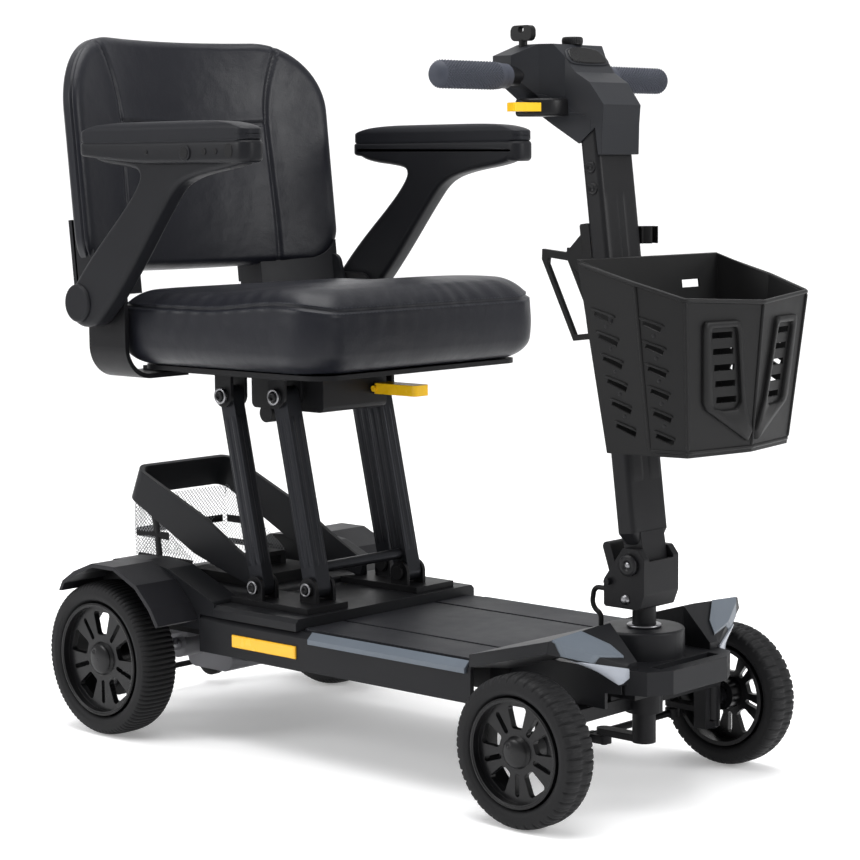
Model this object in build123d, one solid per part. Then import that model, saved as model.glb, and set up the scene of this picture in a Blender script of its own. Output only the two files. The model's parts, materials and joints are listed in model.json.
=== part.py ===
from build123d import *
import math
import os

os.makedirs("parts", exist_ok=True)

# A four-wheeled travel mobility scooter, in millimetres.
# While it is built, X = 0 is the rear axle, +X is forward, +Y is left and Z = 0 is the floor.
# The written parts are moved along X so that the origin is the middle of the footprint.

# --- driving sizes ---------------------------------------------------------------------------
WHEELBASE = 706.0
REAR_WHEEL_R = 101.5
REAR_RIM_R = 74.5
REAR_TYRE_W = 56.0
REAR_WHEEL_Y = 204.0
FRONT_WHEEL_R = 88.0
FRONT_RIM_R = 63.0
FRONT_TYRE_W = 44.0
FRONT_WHEEL_Y = 195.0

DECK_TOP = 168.0
DECK_HALF_W = 166.0
DECK_DEPTH = 48.0
DECK_REAR = 130.0
DECK_FRONT = 600.0
STEP_X = 310.0
STEP_H = 15.0
SKIN = 4.0

AXLE_R = 8.5
KINGPIN_Y = 160.0
STEER_ARM = 60.0
COLUMN_R = 14.0
RUN = 0.05
GAP = 0.6

LEG_LENGTH = 249.0
LEG_LEAN = 12.4
LEG_W = 25.0
FRONT_LEG_Y = 84.0
FRONT_LEG_T = 24.0
REAR_LEG_Y = 118.0
REAR_LEG_T = 18.0
FRONT_PIVOT_X = 266.0
LEG_PITCH = 66.0
PIVOT_R = 5.0

SEAT_LENGTH = 365.0
SEAT_HALF_W = 210.0
SEAT_THICK = 100.0
SEAT_REAR = 31.0
BACK_HALF_W = 224.0
BACK_HEIGHT = 300.0
BACK_THICK = 46.0
ARM_Y = 227.0
ARM_T = 28.0

MAST_W = 66.0
MAST_T = 26.0
MAST_RAKE = 6.9
MAST_LENGTH = 470.0
BAR_HALF = 201.0
BAR_R = 11.0
GRIP_R = 16.0

# --- places worked out from the driving sizes ------------------------------------------------
STEP_TOP = DECK_TOP + STEP_H
COLUMN_X = WHEELBASE + 19.0
HINGE = (COLUMN_X + 4.0, DECK_TOP + 112.0)
LEAN = math.radians(LEG_LEAN)
PIVOT_Z = STEP_TOP + 24.0
FRONT_LOW = (FRONT_PIVOT_X, PIVOT_Z)
REAR_LOW = (FRONT_PIVOT_X - LEG_PITCH, PIVOT_Z)
LEG_RUN = (-LEG_LENGTH * math.sin(LEAN), LEG_LENGTH * math.cos(LEAN))
FRONT_HIGH = (FRONT_LOW[0] + LEG_RUN[0], FRONT_LOW[1] + LEG_RUN[1])
REAR_HIGH = (REAR_LOW[0] + LEG_RUN[0], REAR_LOW[1] + LEG_RUN[1])
PAN_TOP = FRONT_HIGH[1] + 40.0
SEAT_BASE = PAN_TOP + 0.5
SEAT_TOP = SEAT_BASE + SEAT_THICK
SEAT_FRONT = SEAT_REAR + SEAT_LENGTH
ARM_PIVOT = (SEAT_REAR - 20.0, SEAT_TOP - 20.0)
BACK_HINGE = ARM_PIVOT
HOOP_PIVOT = (168.0, PIVOT_Z - 2.0)
HOOP_SLOPE = 23.2


# --- small makers ----------------------------------------------------------------------------
def bar(start, end, radius, bore=0.0):
    """A round bar, or a tube when it has a bore, from one point to another."""
    first, last = Vector(*start), Vector(*end)
    section = Circle(radius) - Circle(bore) if bore else Circle(radius)
    return extrude(Plane(origin=first, z_dir=last - first) * section, (last - first).length)


def side_plate(outline, y_low, y_high, radius=0.0):
    """A plate with an outline in the XZ plane, from y_low to y_high, its corners rounded."""
    face = make_face(Polyline(*outline, close=True))
    if radius:
        face = fillet(face.vertices(), radius)
    plane = Plane(origin=(0, y_low, 0), x_dir=(1, 0, 0), z_dir=(0, -1, 0))
    return extrude(plane * face, -(y_high - y_low))


def flat_plate(outline, z_low, z_high, radius=0.0):
    """A plate with an outline in the XY plane, from z_low to z_high, its corners rounded."""
    face = make_face(Polyline(*outline, close=True))
    if radius:
        face = fillet(face.vertices(), radius)
    return extrude(Pos(0, 0, z_low) * face, z_high - z_low)


def cross_plate(outline, x_low, x_high, radius=0.0):
    """A plate with an outline in the YZ plane, from x_low to x_high, its corners rounded."""
    face = make_face(Polyline(*outline, close=True))
    if radius:
        face = fillet(face.vertices(), radius)
    plane = Plane(origin=(x_low, 0, 0), x_dir=(0, 1, 0), z_dir=(1, 0, 0))
    return extrude(plane * face, x_high - x_low)


def block(x_low, x_high, y_low, y_high, z_low, z_high):
    """A box between two corners."""
    size = (x_high - x_low, y_high - y_low, z_high - z_low)
    middle = ((x_low + x_high) / 2, (y_low + y_high) / 2, (z_low + z_high) / 2)
    return Pos(*middle) * Box(*size)


def both(shape):
    """The shape and its mirror image on the other side of the centre plane."""
    return shape + mirror(shape, about=Plane.XZ)


def other(shape):
    """The mirror image of the shape, for the left-hand side."""
    return mirror(shape, about=Plane.XZ)


def link(low, high, width, y_low, y_high):
    """A flat link with round ends centred on two points of the XZ plane."""
    run = Vector(high[0] - low[0], high[1] - low[1])
    angle = math.degrees(math.atan2(run.Y, run.X))
    slot = SlotCenterToCenter(run.length, width)
    middle = ((low[0] + high[0]) / 2, (low[1] + high[1]) / 2)
    plane = Plane(origin=(0, y_low, 0), x_dir=(1, 0, 0), z_dir=(0, -1, 0))
    return extrude(plane * (Pos(*middle) * Rot(0, 0, angle) * slot), -(y_high - y_low))


def pin(place, y_low, y_high, radius):
    """A pin along Y through a point of the XZ plane."""
    return bar((place[0], y_low, place[1]), (place[0], y_high, place[1]), radius)


def ruled(*sections):
    """A solid with straight walls between closed outlines."""
    return loft([make_face(Polyline(*outline, close=True)) for outline in sections], ruled=True)


def turned(shape, place, degrees):
    """The shape turned about a Y line through a point of the XZ plane, forward when positive."""
    hinge = Axis((place[0], 0, place[1]), (0, 1, 0))
    return shape.rotate(hinge, degrees)


# --- wheels ----------------------------------------------------------------------------------
def tyre(radius, rim_radius, width):
    """A solid tyre with rounded shoulders, on a Z axle."""
    crown = 9.0
    face = make_face(Polyline(
        (rim_radius, -width / 2 + 3), (rim_radius + 5, -width / 2), (radius - crown, -width / 2),
        (radius - 1.5, -width / 2 + crown), (radius, 0), (radius - 1.5, width / 2 - crown),
        (radius - crown, width / 2), (rim_radius + 5, width / 2), (rim_radius, width / 2 - 3),
        close=True))
    ring = revolve(Plane.XZ * face, Axis.Z)
    return ring


def window(low, high, half_angle):
    """A tapered spoke window between two radii, pointing up +Y."""
    spread = math.tan(math.radians(half_angle))
    outline = [(-low * spread, low), (low * spread, low), (high * spread, high), (-high * spread, high)]
    return fillet(make_face(Polyline(*outline, close=True)).vertices(), min(4.0, low * spread * 0.8))


def rim(radius, width, bore):
    """A moulded rim on a Z axle: barrel, dished web with ten windows, hub and domed cap."""
    wall = 5.0
    web_low, web_high = width / 2 - 17, width / 2 - 9
    body = extrude(Pos(0, 0, -width / 2) * (Circle(radius) - Circle(radius - wall)), width)
    web = extrude(Pos(0, 0, web_low) * Circle(radius - wall + 0.5), web_high - web_low)
    for turn in range(5):
        wide = Rot(0, 0, 72 * turn) * window(0.42 * radius, 0.83 * radius, 15)
        slot = Rot(0, 0, 72 * turn + 36) * Pos(0, 0.6 * radius) * SlotOverall(0.42 * radius, 6, 90)
        web -= extrude(Pos(0, 0, web_low - 1) * (wide + slot), web_high - web_low + 2)
    on_face = (Align.CENTER, Align.CENTER, Align.MIN)
    hub = Pos(0, 0, -width / 2 + 4) * Cylinder(0.3 * radius, width - 10, align=on_face)
    hub = chamfer(hub.edges().group_by(Axis.Z)[-1], 3)
    hole = Pos(0, 0, -width) * Cylinder(bore, width * 1.5 - 12, align=(Align.CENTER,) * 2 + (Align.MIN,))
    return body + web + hub - hole


def on_axle(shape, x, y, z):
    """A wheel part turned so that its outer face looks to -Y, at a place on the right-hand side."""
    return Pos(x, y, z) * Rot(90, 0, 0) * shape


REAR_HUB = (0, -REAR_WHEEL_Y, REAR_WHEEL_R)
FRONT_HUB = (WHEELBASE, -FRONT_WHEEL_Y, FRONT_WHEEL_R)
STUB_R = 7.5
rear_tyre = on_axle(tyre(REAR_WHEEL_R, REAR_RIM_R, REAR_TYRE_W), *REAR_HUB)
rear_rim = on_axle(rim(REAR_RIM_R, REAR_TYRE_W - 4, AXLE_R), *REAR_HUB)
front_tyre = on_axle(tyre(FRONT_WHEEL_R, FRONT_RIM_R, FRONT_TYRE_W), *FRONT_HUB)
front_rim = on_axle(rim(FRONT_RIM_R, FRONT_TYRE_W - 2, STUB_R + RUN), *FRONT_HUB)
AXLE_INNER = 40.0
half_axle = bar((0, -AXLE_INNER, REAR_WHEEL_R), (0, -REAR_WHEEL_Y - 12, REAR_WHEEL_R), AXLE_R)


# --- chassis ---------------------------------------------------------------------------------
FRAME_Z = (DECK_TOP - 40.0, DECK_TOP - 14.0)


def chassis_frame():
    """Two steel rails with cross members, narrowing between the front wheels."""
    low, high = FRAME_Z
    rails = both(block(-50, DECK_FRONT - 10, 95, 120, low, high))
    noses = both(block(DECK_FRONT - 35, COLUMN_X + 30, 34, 56, low, high))
    frame = rails + noses
    for x in (30.0, 330.0, DECK_FRONT - 35):
        frame += block(x, x + 25, -120, 120, low, high)
    frame += block(COLUMN_X + 8 + COLUMN_R, COLUMN_X + 30, -56, 56, low, high)
    return frame


def deck_shell():
    """The floor tray: a skin with down-turned sides, open below and at its ends."""
    outer = block(DECK_REAR, DECK_FRONT, -DECK_HALF_W, DECK_HALF_W, DECK_TOP - DECK_DEPTH, DECK_TOP)
    outer = chamfer(outer.edges().filter_by(Axis.X).group_by(Axis.Z)[-1], 7)
    inner = block(DECK_REAR - 1, DECK_FRONT + 1, -DECK_HALF_W + SKIN + 2, DECK_HALF_W - SKIN - 2,
                  DECK_TOP - DECK_DEPTH - 1, DECK_TOP - SKIN)
    return outer - inner


def deck_mat():
    """The ribbed floor panel: a wide middle and two side panels with grooves between."""
    front, rear = DECK_FRONT - 8, STEP_X + 4
    mat = block(rear, front, -82, 82, DECK_TOP, DECK_TOP + 3)
    return mat + both(block(rear, front, 88, DECK_HALF_W - 12, DECK_TOP, DECK_TOP + 3))


def slate_strip():
    """The slate insert along the edge of the deck."""
    outer = DECK_HALF_W + 4
    outline = [(outer - 11, DECK_TOP + 0.2), (outer - 9, DECK_TOP + 2), (outer, DECK_TOP - 6),
               (outer, DECK_TOP - 12), (outer - 4, DECK_TOP - 12), (outer - 4, DECK_TOP - 7)]
    return cross_plate(outline, 334, DECK_FRONT - 6)


def rear_body():
    """The cover over the drive: a low middle between two shoulders, open below."""
    low = DECK_TOP - 20
    shoulder = [(-92, low), (DECK_REAR + 28, low), (DECK_REAR + 28, STEP_TOP + 3), (70, STEP_TOP + 38),
                (20, STEP_TOP + 44), (-40, STEP_TOP + 40), (-78, STEP_TOP + 10)]
    outer = side_plate(shoulder, -165, 165, 6)
    outer -= block(-200, DECK_REAR + 40, -120, 120, STEP_TOP + 6, STEP_TOP + 80)
    inner = [(-88, low - 1), (DECK_REAR + 24, low - 1), (DECK_REAR + 24, STEP_TOP - 1), (-84, STEP_TOP - 1)]
    outer -= side_plate(inner, -160, 160)
    step = block(DECK_REAR + 28, STEP_X, -DECK_HALF_W, DECK_HALF_W, DECK_TOP, STEP_TOP)
    step = chamfer(step.edges().filter_by(Axis.X).group_by(Axis.Z)[-1], 5)
    half = DECK_HALF_W - 8
    step = step - block(DECK_REAR + 20, STEP_X - SKIN, -half, half, DECK_TOP - 1, STEP_TOP - SKIN)
    outer -= block(DECK_REAR, DECK_REAR + 60, -200, 200, 0, DECK_TOP)
    outer -= both(block(-60, DECK_REAR + 60, 93, 122, 0, FRAME_Z[1] + 1))
    well = block(BATTERY_X[0] - 1.5, BATTERY_X[1] + 1.5, -BATTERY_HALF - 1.5, BATTERY_HALF + 1.5,
                 STEP_TOP - 20, STEP_TOP + 60)
    return outer + step - well


BATTERY_X = (-2.0, 126.0)
BATTERY_HALF = 66.0


def battery_pack():
    """The lift-out battery box with a carrying handle across its top."""
    box = block(*BATTERY_X, -BATTERY_HALF, BATTERY_HALF, FRAME_Z[1] + 1, STEP_TOP + 20)
    box = fillet(box.edges().filter_by(Axis.Z), 8)
    handle = block(50, 74, -44, 44, STEP_TOP + 20, STEP_TOP + 38)
    handle -= block(48, 76, -34, 34, STEP_TOP + 19.9, STEP_TOP + 32)
    return box + fillet(handle.edges().filter_by(Axis.X).group_by(Axis.Z)[-1], 5)


def rear_fender():
    """The arched guard over the right rear wheel."""
    top, ground = REAR_WHEEL_R + 127, REAR_WHEEL_R
    outer = [(-74, ground + 84), (-66, ground + 98), (-42, top - 14), (-5, top), (40, top), (84, top - 19),
             (112, ground + 81), (126, ground + 60)]
    inner = [(121, ground + 57), (107, ground + 78), (81, top - 24), (39, top - 5), (-4, top - 5),
             (-39, top - 19), (-62, ground + 95), (-69, ground + 84)]
    arch = side_plate(outer + inner, -(REAR_WHEEL_Y + REAR_TYRE_W / 2), -165)
    return arch


def transaxle():
    """The drive case on the rear axle with its two axle tubes."""
    case = block(-44, 46, -34, 34, REAR_WHEEL_R - 44, FRAME_Z[0] - 2)
    case = fillet(case.edges().filter_by(Axis.Y), 16)
    tube = bar((0, -92, REAR_WHEEL_R), (0, 92, REAR_WHEEL_R), 19)
    foot = block(-24, 24, -94, -70, REAR_WHEEL_R + 12, FRAME_Z[0])
    hole = bar((0, -100, REAR_WHEEL_R), (0, 100, REAR_WHEEL_R), AXLE_R + RUN)
    return case + tube + both(foot) + both(block(-24, 24, -120, -90, FRAME_Z[0] - 6, FRAME_Z[0])) - hole


MOTOR_Z = FRAME_Z[0] - 31.0


def drive_motor():
    """The electric motor in front of the drive case."""
    can = bar((46, 0, MOTOR_Z), (150, 0, MOTOR_Z), 28)
    return can + bar((150, 0, MOTOR_Z), (160, 0, MOTOR_Z), 18)


TIP_WHEEL = (-129.0, 36.0)
TIP_WHEEL_R = 24.0


def anti_tip_arms():
    """Two flat arms that carry the anti-tip wheels behind the axle."""
    low, high = FRAME_Z
    arm = link(TIP_WHEEL, (-42, (low + high) / 2), 22, 97, 103)
    arm -= pin(TIP_WHEEL, 90, 110, 4 + RUN)
    return both(arm - block(-50, 0, 94, 121, low, high))


def anti_tip_wheels():
    """Two small rollers pressed on one axle."""
    roller = pin(TIP_WHEEL, 78, 95, TIP_WHEEL_R)
    roller = fillet(roller.edges().filter_by(GeomType.CIRCLE), 4)
    return both(roller) + pin(TIP_WHEEL, -105, 105, 4)


# --- front end -------------------------------------------------------------------------------
BEAM_Z = (FRONT_WHEEL_R + 18.0, FRONT_WHEEL_R + 34.0)
KING_LOW = FRONT_WHEEL_R - 26.0
KING_R = 6.0


def kingpin_disc(radius, z_low, z_high):
    """A disc about the right-hand kingpin."""
    return bar((WHEELBASE, -KINGPIN_Y, z_low), (WHEELBASE, -KINGPIN_Y, z_high), radius)


def front_axle_beam():
    """The cross beam with a bearing for the column and a forked end for each kingpin."""
    low, high = BEAM_Z
    beam = block(WHEELBASE - 15, WHEELBASE + 15, -KINGPIN_Y, KINGPIN_Y, low, high)
    beam += bar((COLUMN_X, 0, low - 4), (COLUMN_X, 0, FRAME_Z[0] + 20), COLUMN_R + 8)
    drop = block(WHEELBASE - 9, WHEELBASE + 9, -KINGPIN_Y + 16, -KINGPIN_Y + 24, KING_LOW - 9, low)
    ear = block(WHEELBASE - 9, WHEELBASE + 9, -KINGPIN_Y, -KINGPIN_Y + 24, KING_LOW - 9, KING_LOW - 1)
    ear += kingpin_disc(10.5, KING_LOW - 9, KING_LOW - 1) + kingpin_disc(10.5, low, high)
    beam -= both(block(WHEELBASE - 20, WHEELBASE + 20, -KINGPIN_Y - 1, -KINGPIN_Y + 2, low - 1, high + 1)
                 - kingpin_disc(10.5, low - 1, high + 1))
    stands = both(block(WHEELBASE - 14, WHEELBASE + 14, 34, 56, high, FRAME_Z[0]))
    hole = bar((COLUMN_X, 0, 0), (COLUMN_X, 0, 400), COLUMN_R + RUN)
    kings = both(kingpin_disc(KING_R, KING_LOW - 12, high + 3))
    return beam + both(drop + ear) + stands - hole + kings


def knuckle():
    """The right-hand steering knuckle: sleeve, stub axle and rearward arm with its stud."""
    low, high = KING_LOW - 0.5, BEAM_Z[0] - 0.5
    sleeve = kingpin_disc(11, low, high)
    stub = bar((WHEELBASE, -KINGPIN_Y, FRONT_WHEEL_R), (WHEELBASE, -FRONT_WHEEL_Y - 9, FRONT_WHEEL_R), STUB_R)
    washer = bar((WHEELBASE, -KINGPIN_Y - 8, FRONT_WHEEL_R),
                 (WHEELBASE, -FRONT_WHEEL_Y + FRONT_TYRE_W / 2 - 4, FRONT_WHEEL_R), STUB_R + 3)
    arm = block(WHEELBASE - STEER_ARM, WHEELBASE, -KINGPIN_Y - 9, -KINGPIN_Y + 9, TIE_Z + 9, TIE_Z + 16)
    x_arm = WHEELBASE - STEER_ARM
    arm += bar((x_arm, -KINGPIN_Y, TIE_Z + 9), (x_arm, -KINGPIN_Y, TIE_Z + 16), 9)
    stud = bar((x_arm, -KINGPIN_Y, TIE_Z - 7), (x_arm, -KINGPIN_Y, TIE_Z + 18), 4)
    return sleeve + stub + washer + arm + stud - kingpin_disc(KING_R + RUN, 0, 200)


TIE_Z = KING_LOW - 2.0
PITMAN_X = COLUMN_X - STEER_ARM


def tie_rod():
    """The rod between the knuckles, with an eye at each end and a lug for the column's arm."""
    x = WHEELBASE - STEER_ARM
    rod = bar((x, -KINGPIN_Y + 7, TIE_Z), (x, KINGPIN_Y - 7, TIE_Z), 4.5)
    eye = bar((x, -KINGPIN_Y, TIE_Z - 5), (x, -KINGPIN_Y, TIE_Z + 6), 9)
    hole = bar((x, -KINGPIN_Y, TIE_Z - 9), (x, -KINGPIN_Y, TIE_Z + 9), 4.5)
    sleeve = extrude(Plane(origin=(x, -110, TIE_Z), z_dir=(0, 1, 0)) * RegularPolygon(7.5, 6), 22)
    lug = block(x - 6, PITMAN_X, -9, 9, TIE_Z - 6, TIE_Z + 4)
    lug = lug + bar((PITMAN_X, 0, TIE_Z - 6), (PITMAN_X, 0, TIE_Z + 4), 9)
    return rod + lug + eye + other(eye) + sleeve + other(sleeve) - hole - other(hole) - bar(
        (PITMAN_X, 0, TIE_Z - 9), (PITMAN_X, 0, TIE_Z + 9), 4 + RUN)


LATCH_PIVOT = (HINGE[0] - 30.0, HINGE[1] - 22.0)


def steering_column():
    """The turning column: pitman arm below, round post, and the fork that holds the mast."""
    post = bar((COLUMN_X, 0, TIE_Z + 5), (COLUMN_X, 0, DECK_TOP + 62), COLUMN_R)
    arm = block(PITMAN_X, COLUMN_X, -9, 9, TIE_Z + 5, TIE_Z + 13)
    arm += bar((PITMAN_X, 0, TIE_Z + 5), (PITMAN_X, 0, TIE_Z + 13), 9)
    arm += bar((PITMAN_X, 0, TIE_Z - 8), (PITMAN_X, 0, TIE_Z + 6), 4)
    x, z = HINGE
    cheek = [(x - 38, z - 52), (x + 14, z - 52), (x + 21, z - 34), (x + 21, z + 8), (x + 12, z + 19),
             (x - 10, z + 19),
             (x - 38, z - 20)]
    fork = side_plate(cheek, -33, 33, 4)
    fork -= block(x - 60, x + 15.5, -23, 23, z - 32, z + 60)
    fork -= block(x - 60, x + 40, -23, 23, z + 5, z + 60)
    fork -= pin(LATCH_PIVOT, -60, 60, 4 + RUN)
    return post + arm + fork + pin(HINGE, -34, 34, PIVOT_R + 1)


# --- tiller ----------------------------------------------------------------------------------
RAKE = math.radians(MAST_RAKE)
MAST_DIR = (-math.sin(RAKE), math.cos(RAKE))
MAST_FOOT = (HINGE[0] - 6.0, HINGE[1] + 36.0)


def up_mast(along, ahead=0.0):
    """The XZ point a distance along the mast's centre line and ahead of it."""
    x = MAST_FOOT[0] + along * MAST_DIR[0] + ahead * MAST_DIR[1]
    z = MAST_FOOT[1] + along * MAST_DIR[1] - ahead * MAST_DIR[0]
    return (x, z)


def mast():
    """The flat tube of the tiller, with a solid tongue that turns in the fork."""
    foot = Vector(MAST_FOOT[0], 0, MAST_FOOT[1])
    plane = Plane(origin=foot, x_dir=(MAST_DIR[1], 0, -MAST_DIR[0]), z_dir=(MAST_DIR[0], 0, MAST_DIR[1]))
    section = RectangleRounded(MAST_T, MAST_W, 6) - RectangleRounded(MAST_T - 6, MAST_W - 6, 3.5)
    tube = extrude(plane * section, MAST_LENGTH)
    cap_low = plane.offset(-14) * RectangleRounded(MAST_T - 4, 44, 6)
    cap = loft([plane * RectangleRounded(MAST_T, MAST_W, 6), cap_low])
    tongue = link(HINGE, up_mast(4), 27, -22, 22)
    tongue -= block(0, 999, -40, 40, up_mast(2)[1], 999)
    return tube + cap + tongue - pin(HINGE, -40, 40, PIVOT_R + 1 + RUN)


BAR_PLACE = (up_mast(530)[0] - 69.0, up_mast(530)[1] + 1.0)


LEVER_PLACE = (BAR_PLACE[0] + 20.0, BAR_PLACE[1] - 36.0)


def head_block():
    """The wedge of the control head: a side outline cut by a front and a top outline."""
    x, z = BAR_PLACE
    side = [(x - 26, z + 24), (x - 10, z + 37), (x + 36, z + 37), (x + 62, z + 4), (x + 82, z - 8),
            (x + 102, z - 34),
            (x + 100, z - 56), (x + 99, z - 91), (x + 94, z - 91), (x + 90, z - 60), (x + 66, z - 78),
            (x + 26, z - 55),
            (x - 8, z - 34), (x - 26, z - 4)]
    front = [(-34, z - 120), (34, z - 120), (36, z - 44), (56, z - 22), (80, z + 2), (80, z + 24),
             (52, z + 38),
             (-52, z + 38), (-80, z + 24), (-80, z + 2), (-56, z - 22), (-36, z - 44)]
    top = [(x - 40, -80), (x + 2, -80), (x + 22, -54), (x + 48, -38), (x + 110, -34), (x + 110, 34),
           (x + 48, 38),
           (x + 22, 54), (x + 2, 80), (x - 40, 80)]
    return side_plate(side, -90, 90) & cross_plate(front, x - 90, x + 140) & flat_plate(top, z - 140, z + 60)


def head_parts():
    """The control head split along its sloping seam into an upper and a lower shell."""
    x, z = BAR_PLACE
    whole = head_block() - bar((x, -99, z), (x, 99, z), BAR_R)
    foot, top = up_mast(-20), up_mast(MAST_LENGTH)
    hollow = link(foot, top, MAST_T, -MAST_W / 2, MAST_W / 2)
    whole -= hollow
    whole -= bar((x, -56, z), (x, -56, z + 60), 5 + RUN)
    lever_x, lever_z = LEVER_PLACE
    whole -= block(lever_x - 24, lever_x + 32, -99, 99, lever_z - 6.5, lever_z + 6.5)
    seam = [(x - 60, z - 2), (x + 30, z - 22), (x + 66, z - 44), (x + 84, z - 50), (x + 84, z - 130),
            (x - 60, z - 130)]
    lower = side_plate(seam, -100, 100)
    return whole - lower, whole & lower


def grips():
    """Two soft grips with rounded ends."""
    x, z = BAR_PLACE
    grip = bar((x, -BAR_HALF - 9, z), (x, -88, z), GRIP_R)
    grip = fillet(grip.edges().filter_by(GeomType.CIRCLE).group_by(Axis.Y)[0], 12)
    return both(grip - bar((x, -BAR_HALF, z), (x, -80, z), BAR_R))


def throttle_lever(side):
    """One paddle of the two-way speed lever, from its hub out to one side."""
    x, z = LEVER_PLACE
    lever = flat_plate([(x - 6, 0), (x - 2, side * 60), (x - 4, side * 104), (x + 14, side * 112),
                        (x + 20, side * 60),
                        (x + 8, 0)], z - 5, z + 5, 2)
    far_half = block(x - 20, x + 20, min(0, -20 * side), max(0, -20 * side), z - 9, z + 9)
    return lever + bar((x, 0, z - 5), (x, 0, z + 5), 7) - far_half


def ignition_key():
    """The key: a stem that sits in its lock and a bow with a hole."""
    x, z = BAR_PLACE[0], BAR_PLACE[1] + 35
    bow = side_plate([(x - 16, z + 6), (x + 16, z + 6), (x + 16, z + 24), (x - 16, z + 24)], -60, -52, 7)
    bow -= pin((x, z + 19), -70, -40, 4)
    return bow + bar((x, -56, z - 2), (x, -56, z + 8), 5)


def speed_dial():
    """The round speed knob."""
    x, z = BAR_PLACE[0] + 28, BAR_PLACE[1] + 37.3
    knob = bar((x, 0, z), (x, 0, z + 9), 12)
    return fillet(knob.edges().group_by(Axis.Z)[-1], 2)


def accessory_clip():
    """The open plastic clip on the left of the mast, which holds a cane or a lead."""
    x, z = up_mast(345)
    z_low, z_high = z - 10, z + 10
    ring = extrude(Pos(x + 6, MAST_W / 2 + 17, z_low) * (Circle(15) - Circle(11)), z_high - z_low)
    ring -= block(x, x + 40, MAST_W / 2 + 12, MAST_W / 2 + 22, z_low - 1, z_high + 1)
    return ring + block(x - 8, x + 14, MAST_W / 2, MAST_W / 2 + 3.5, z_low, z_high)


def bottle_cage():
    """The slim cage behind the mast: a clamp pad and a strap frame."""
    pad = side_plate([up_mast(320, -MAST_T / 2 - 14), up_mast(320, -MAST_T / 2), up_mast(362, -MAST_T / 2),
                      up_mast(362, -MAST_T / 2 - 14)], -30, 30, 3)
    outer = [up_mast(228, -27), up_mast(228, -56), up_mast(328, -92), up_mast(340, -90), up_mast(332, -54),
             up_mast(356, -22), up_mast(324, -22), up_mast(306, -30)]
    inner = [up_mast(235, -33), up_mast(235, -53), up_mast(322, -84), up_mast(329, -82), up_mast(322, -52),
             up_mast(302, -36)]
    frame = side_plate(outer, -26, -20) - side_plate(inner, -40, 0)
    return pad + both(frame) + pin(up_mast(232, -30), -26, 26, 3) + pin(up_mast(332, -86), -26, 26, 3)


def tiller_latch():
    """The catch lever behind the fork that locks the mast upright."""
    x, z = LATCH_PIVOT
    lever = link(LATCH_PIVOT, (x - 13, z + 38), 12, -21, 21)
    return lever + pin(LATCH_PIVOT, -39, 39, 4)


# --- basket ----------------------------------------------------------------------------------
BASKET_REAR = COLUMN_X + 5.0
BASKET_LOW = DECK_TOP + 252.0
BASKET_HIGH = BASKET_LOW + 218.0
BASKET_WALL = 2.6


def basket_outline(z, inset):
    """The basket's seven-sided plan at one height, pulled in by a wall."""
    rise = (z - BASKET_LOW) / (BASKET_HIGH - BASKET_LOW)
    rear = BASKET_REAR + 27 - 26 * rise + inset
    half_rear, half_side, half_front = 110 + 21 * rise, 103 + 29 * rise, 95 + 26 * rise
    joint, corner = BASKET_REAR + 82 - 2 * rise, BASKET_REAR + 128 + 14 * rise
    nose = BASKET_REAR + 145 + 20 * rise
    right = [(rear, -half_rear + inset, z), (joint, -half_side + inset, z)]
    right.append((corner - inset, -half_front + inset, z))
    left = [(x, -y, z) for x, y, z in reversed(right)]
    return right + [(nose - inset, 0, z)] + left


def basket():
    """The basket shell: tapered walls, a sloping rim, slots and a rear hook."""
    top = BASKET_HIGH + 20
    shell = ruled(basket_outline(BASKET_LOW, 0), basket_outline(top, 0))
    shell -= ruled(basket_outline(BASKET_LOW + BASKET_WALL, BASKET_WALL), basket_outline(top + 1, BASKET_WALL))
    rim_line = [(BASKET_REAR - 30, BASKET_HIGH + 8), (BASKET_REAR + 190, BASKET_HIGH - 61),
                (BASKET_REAR + 190, 999),
                (BASKET_REAR - 30, 999)]
    shell -= side_plate(rim_line, -200, 200)
    cutters = []
    for row in range(6):
        z = BASKET_LOW + 28 + 25 * row
        shift = 4 * row
        cutters.append(Pos(BASKET_REAR + 54 - shift, 0, z) * Rot(0, 22, 0) * Box(26, 400, 6))
        cutters.append(Pos(BASKET_REAR + 102 - shift / 4, 0, z - 8) * Rot(0, 22, 0) * Box(22, 400, 6))
    for row in range(5):
        z = BASKET_LOW + 62 + 18 * row
        for side in (-1, 1):
            cutters.append(Pos(BASKET_REAR + 160, side * (44 + 3.5 * row), z) * Box(70, 30, 7))
    for side in (-1, 1):
        cutters.append(Pos(BASKET_REAR, side * 72, BASKET_HIGH - 36) * Box(60, 34, 9))
        cutters.append(Pos(BASKET_REAR, side * 72, BASKET_HIGH - 70) * Box(60, 34, 9))
    for cutter in cutters:
        shell -= cutter
    z_hook = BASKET_HIGH - 42
    wall_x = BASKET_REAR + 6
    hook = block(wall_x - 20, wall_x + 1, -18, 18, z_hook, z_hook + 4)
    hook = hook + block(wall_x - 20, wall_x - 16, -18, 18, z_hook - 20, z_hook + 1)
    return shell + hook


def basket_bracket():
    """The bracket on the mast with the upright tongue that the basket's hook drops over."""
    wall_x = BASKET_REAR + 6
    z_hook = BASKET_HIGH - 42
    tongue = block(wall_x - 15, wall_x - 7, -24, 24, z_hook - 60, z_hook - 0.6)
    foot = up_mast((z_hook - 50 - MAST_FOOT[1]) / MAST_DIR[1], MAST_T / 2)
    pad = block(foot[0] - 9, wall_x - 8, -24, 24, foot[1] - 13, foot[1] + 14)
    mast_side = [up_mast(-60, -200), up_mast(900, -200), up_mast(900, MAST_T / 2), up_mast(-60, MAST_T / 2)]
    pad -= side_plate(mast_side, -60, 60)
    return tongue + pad


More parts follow.
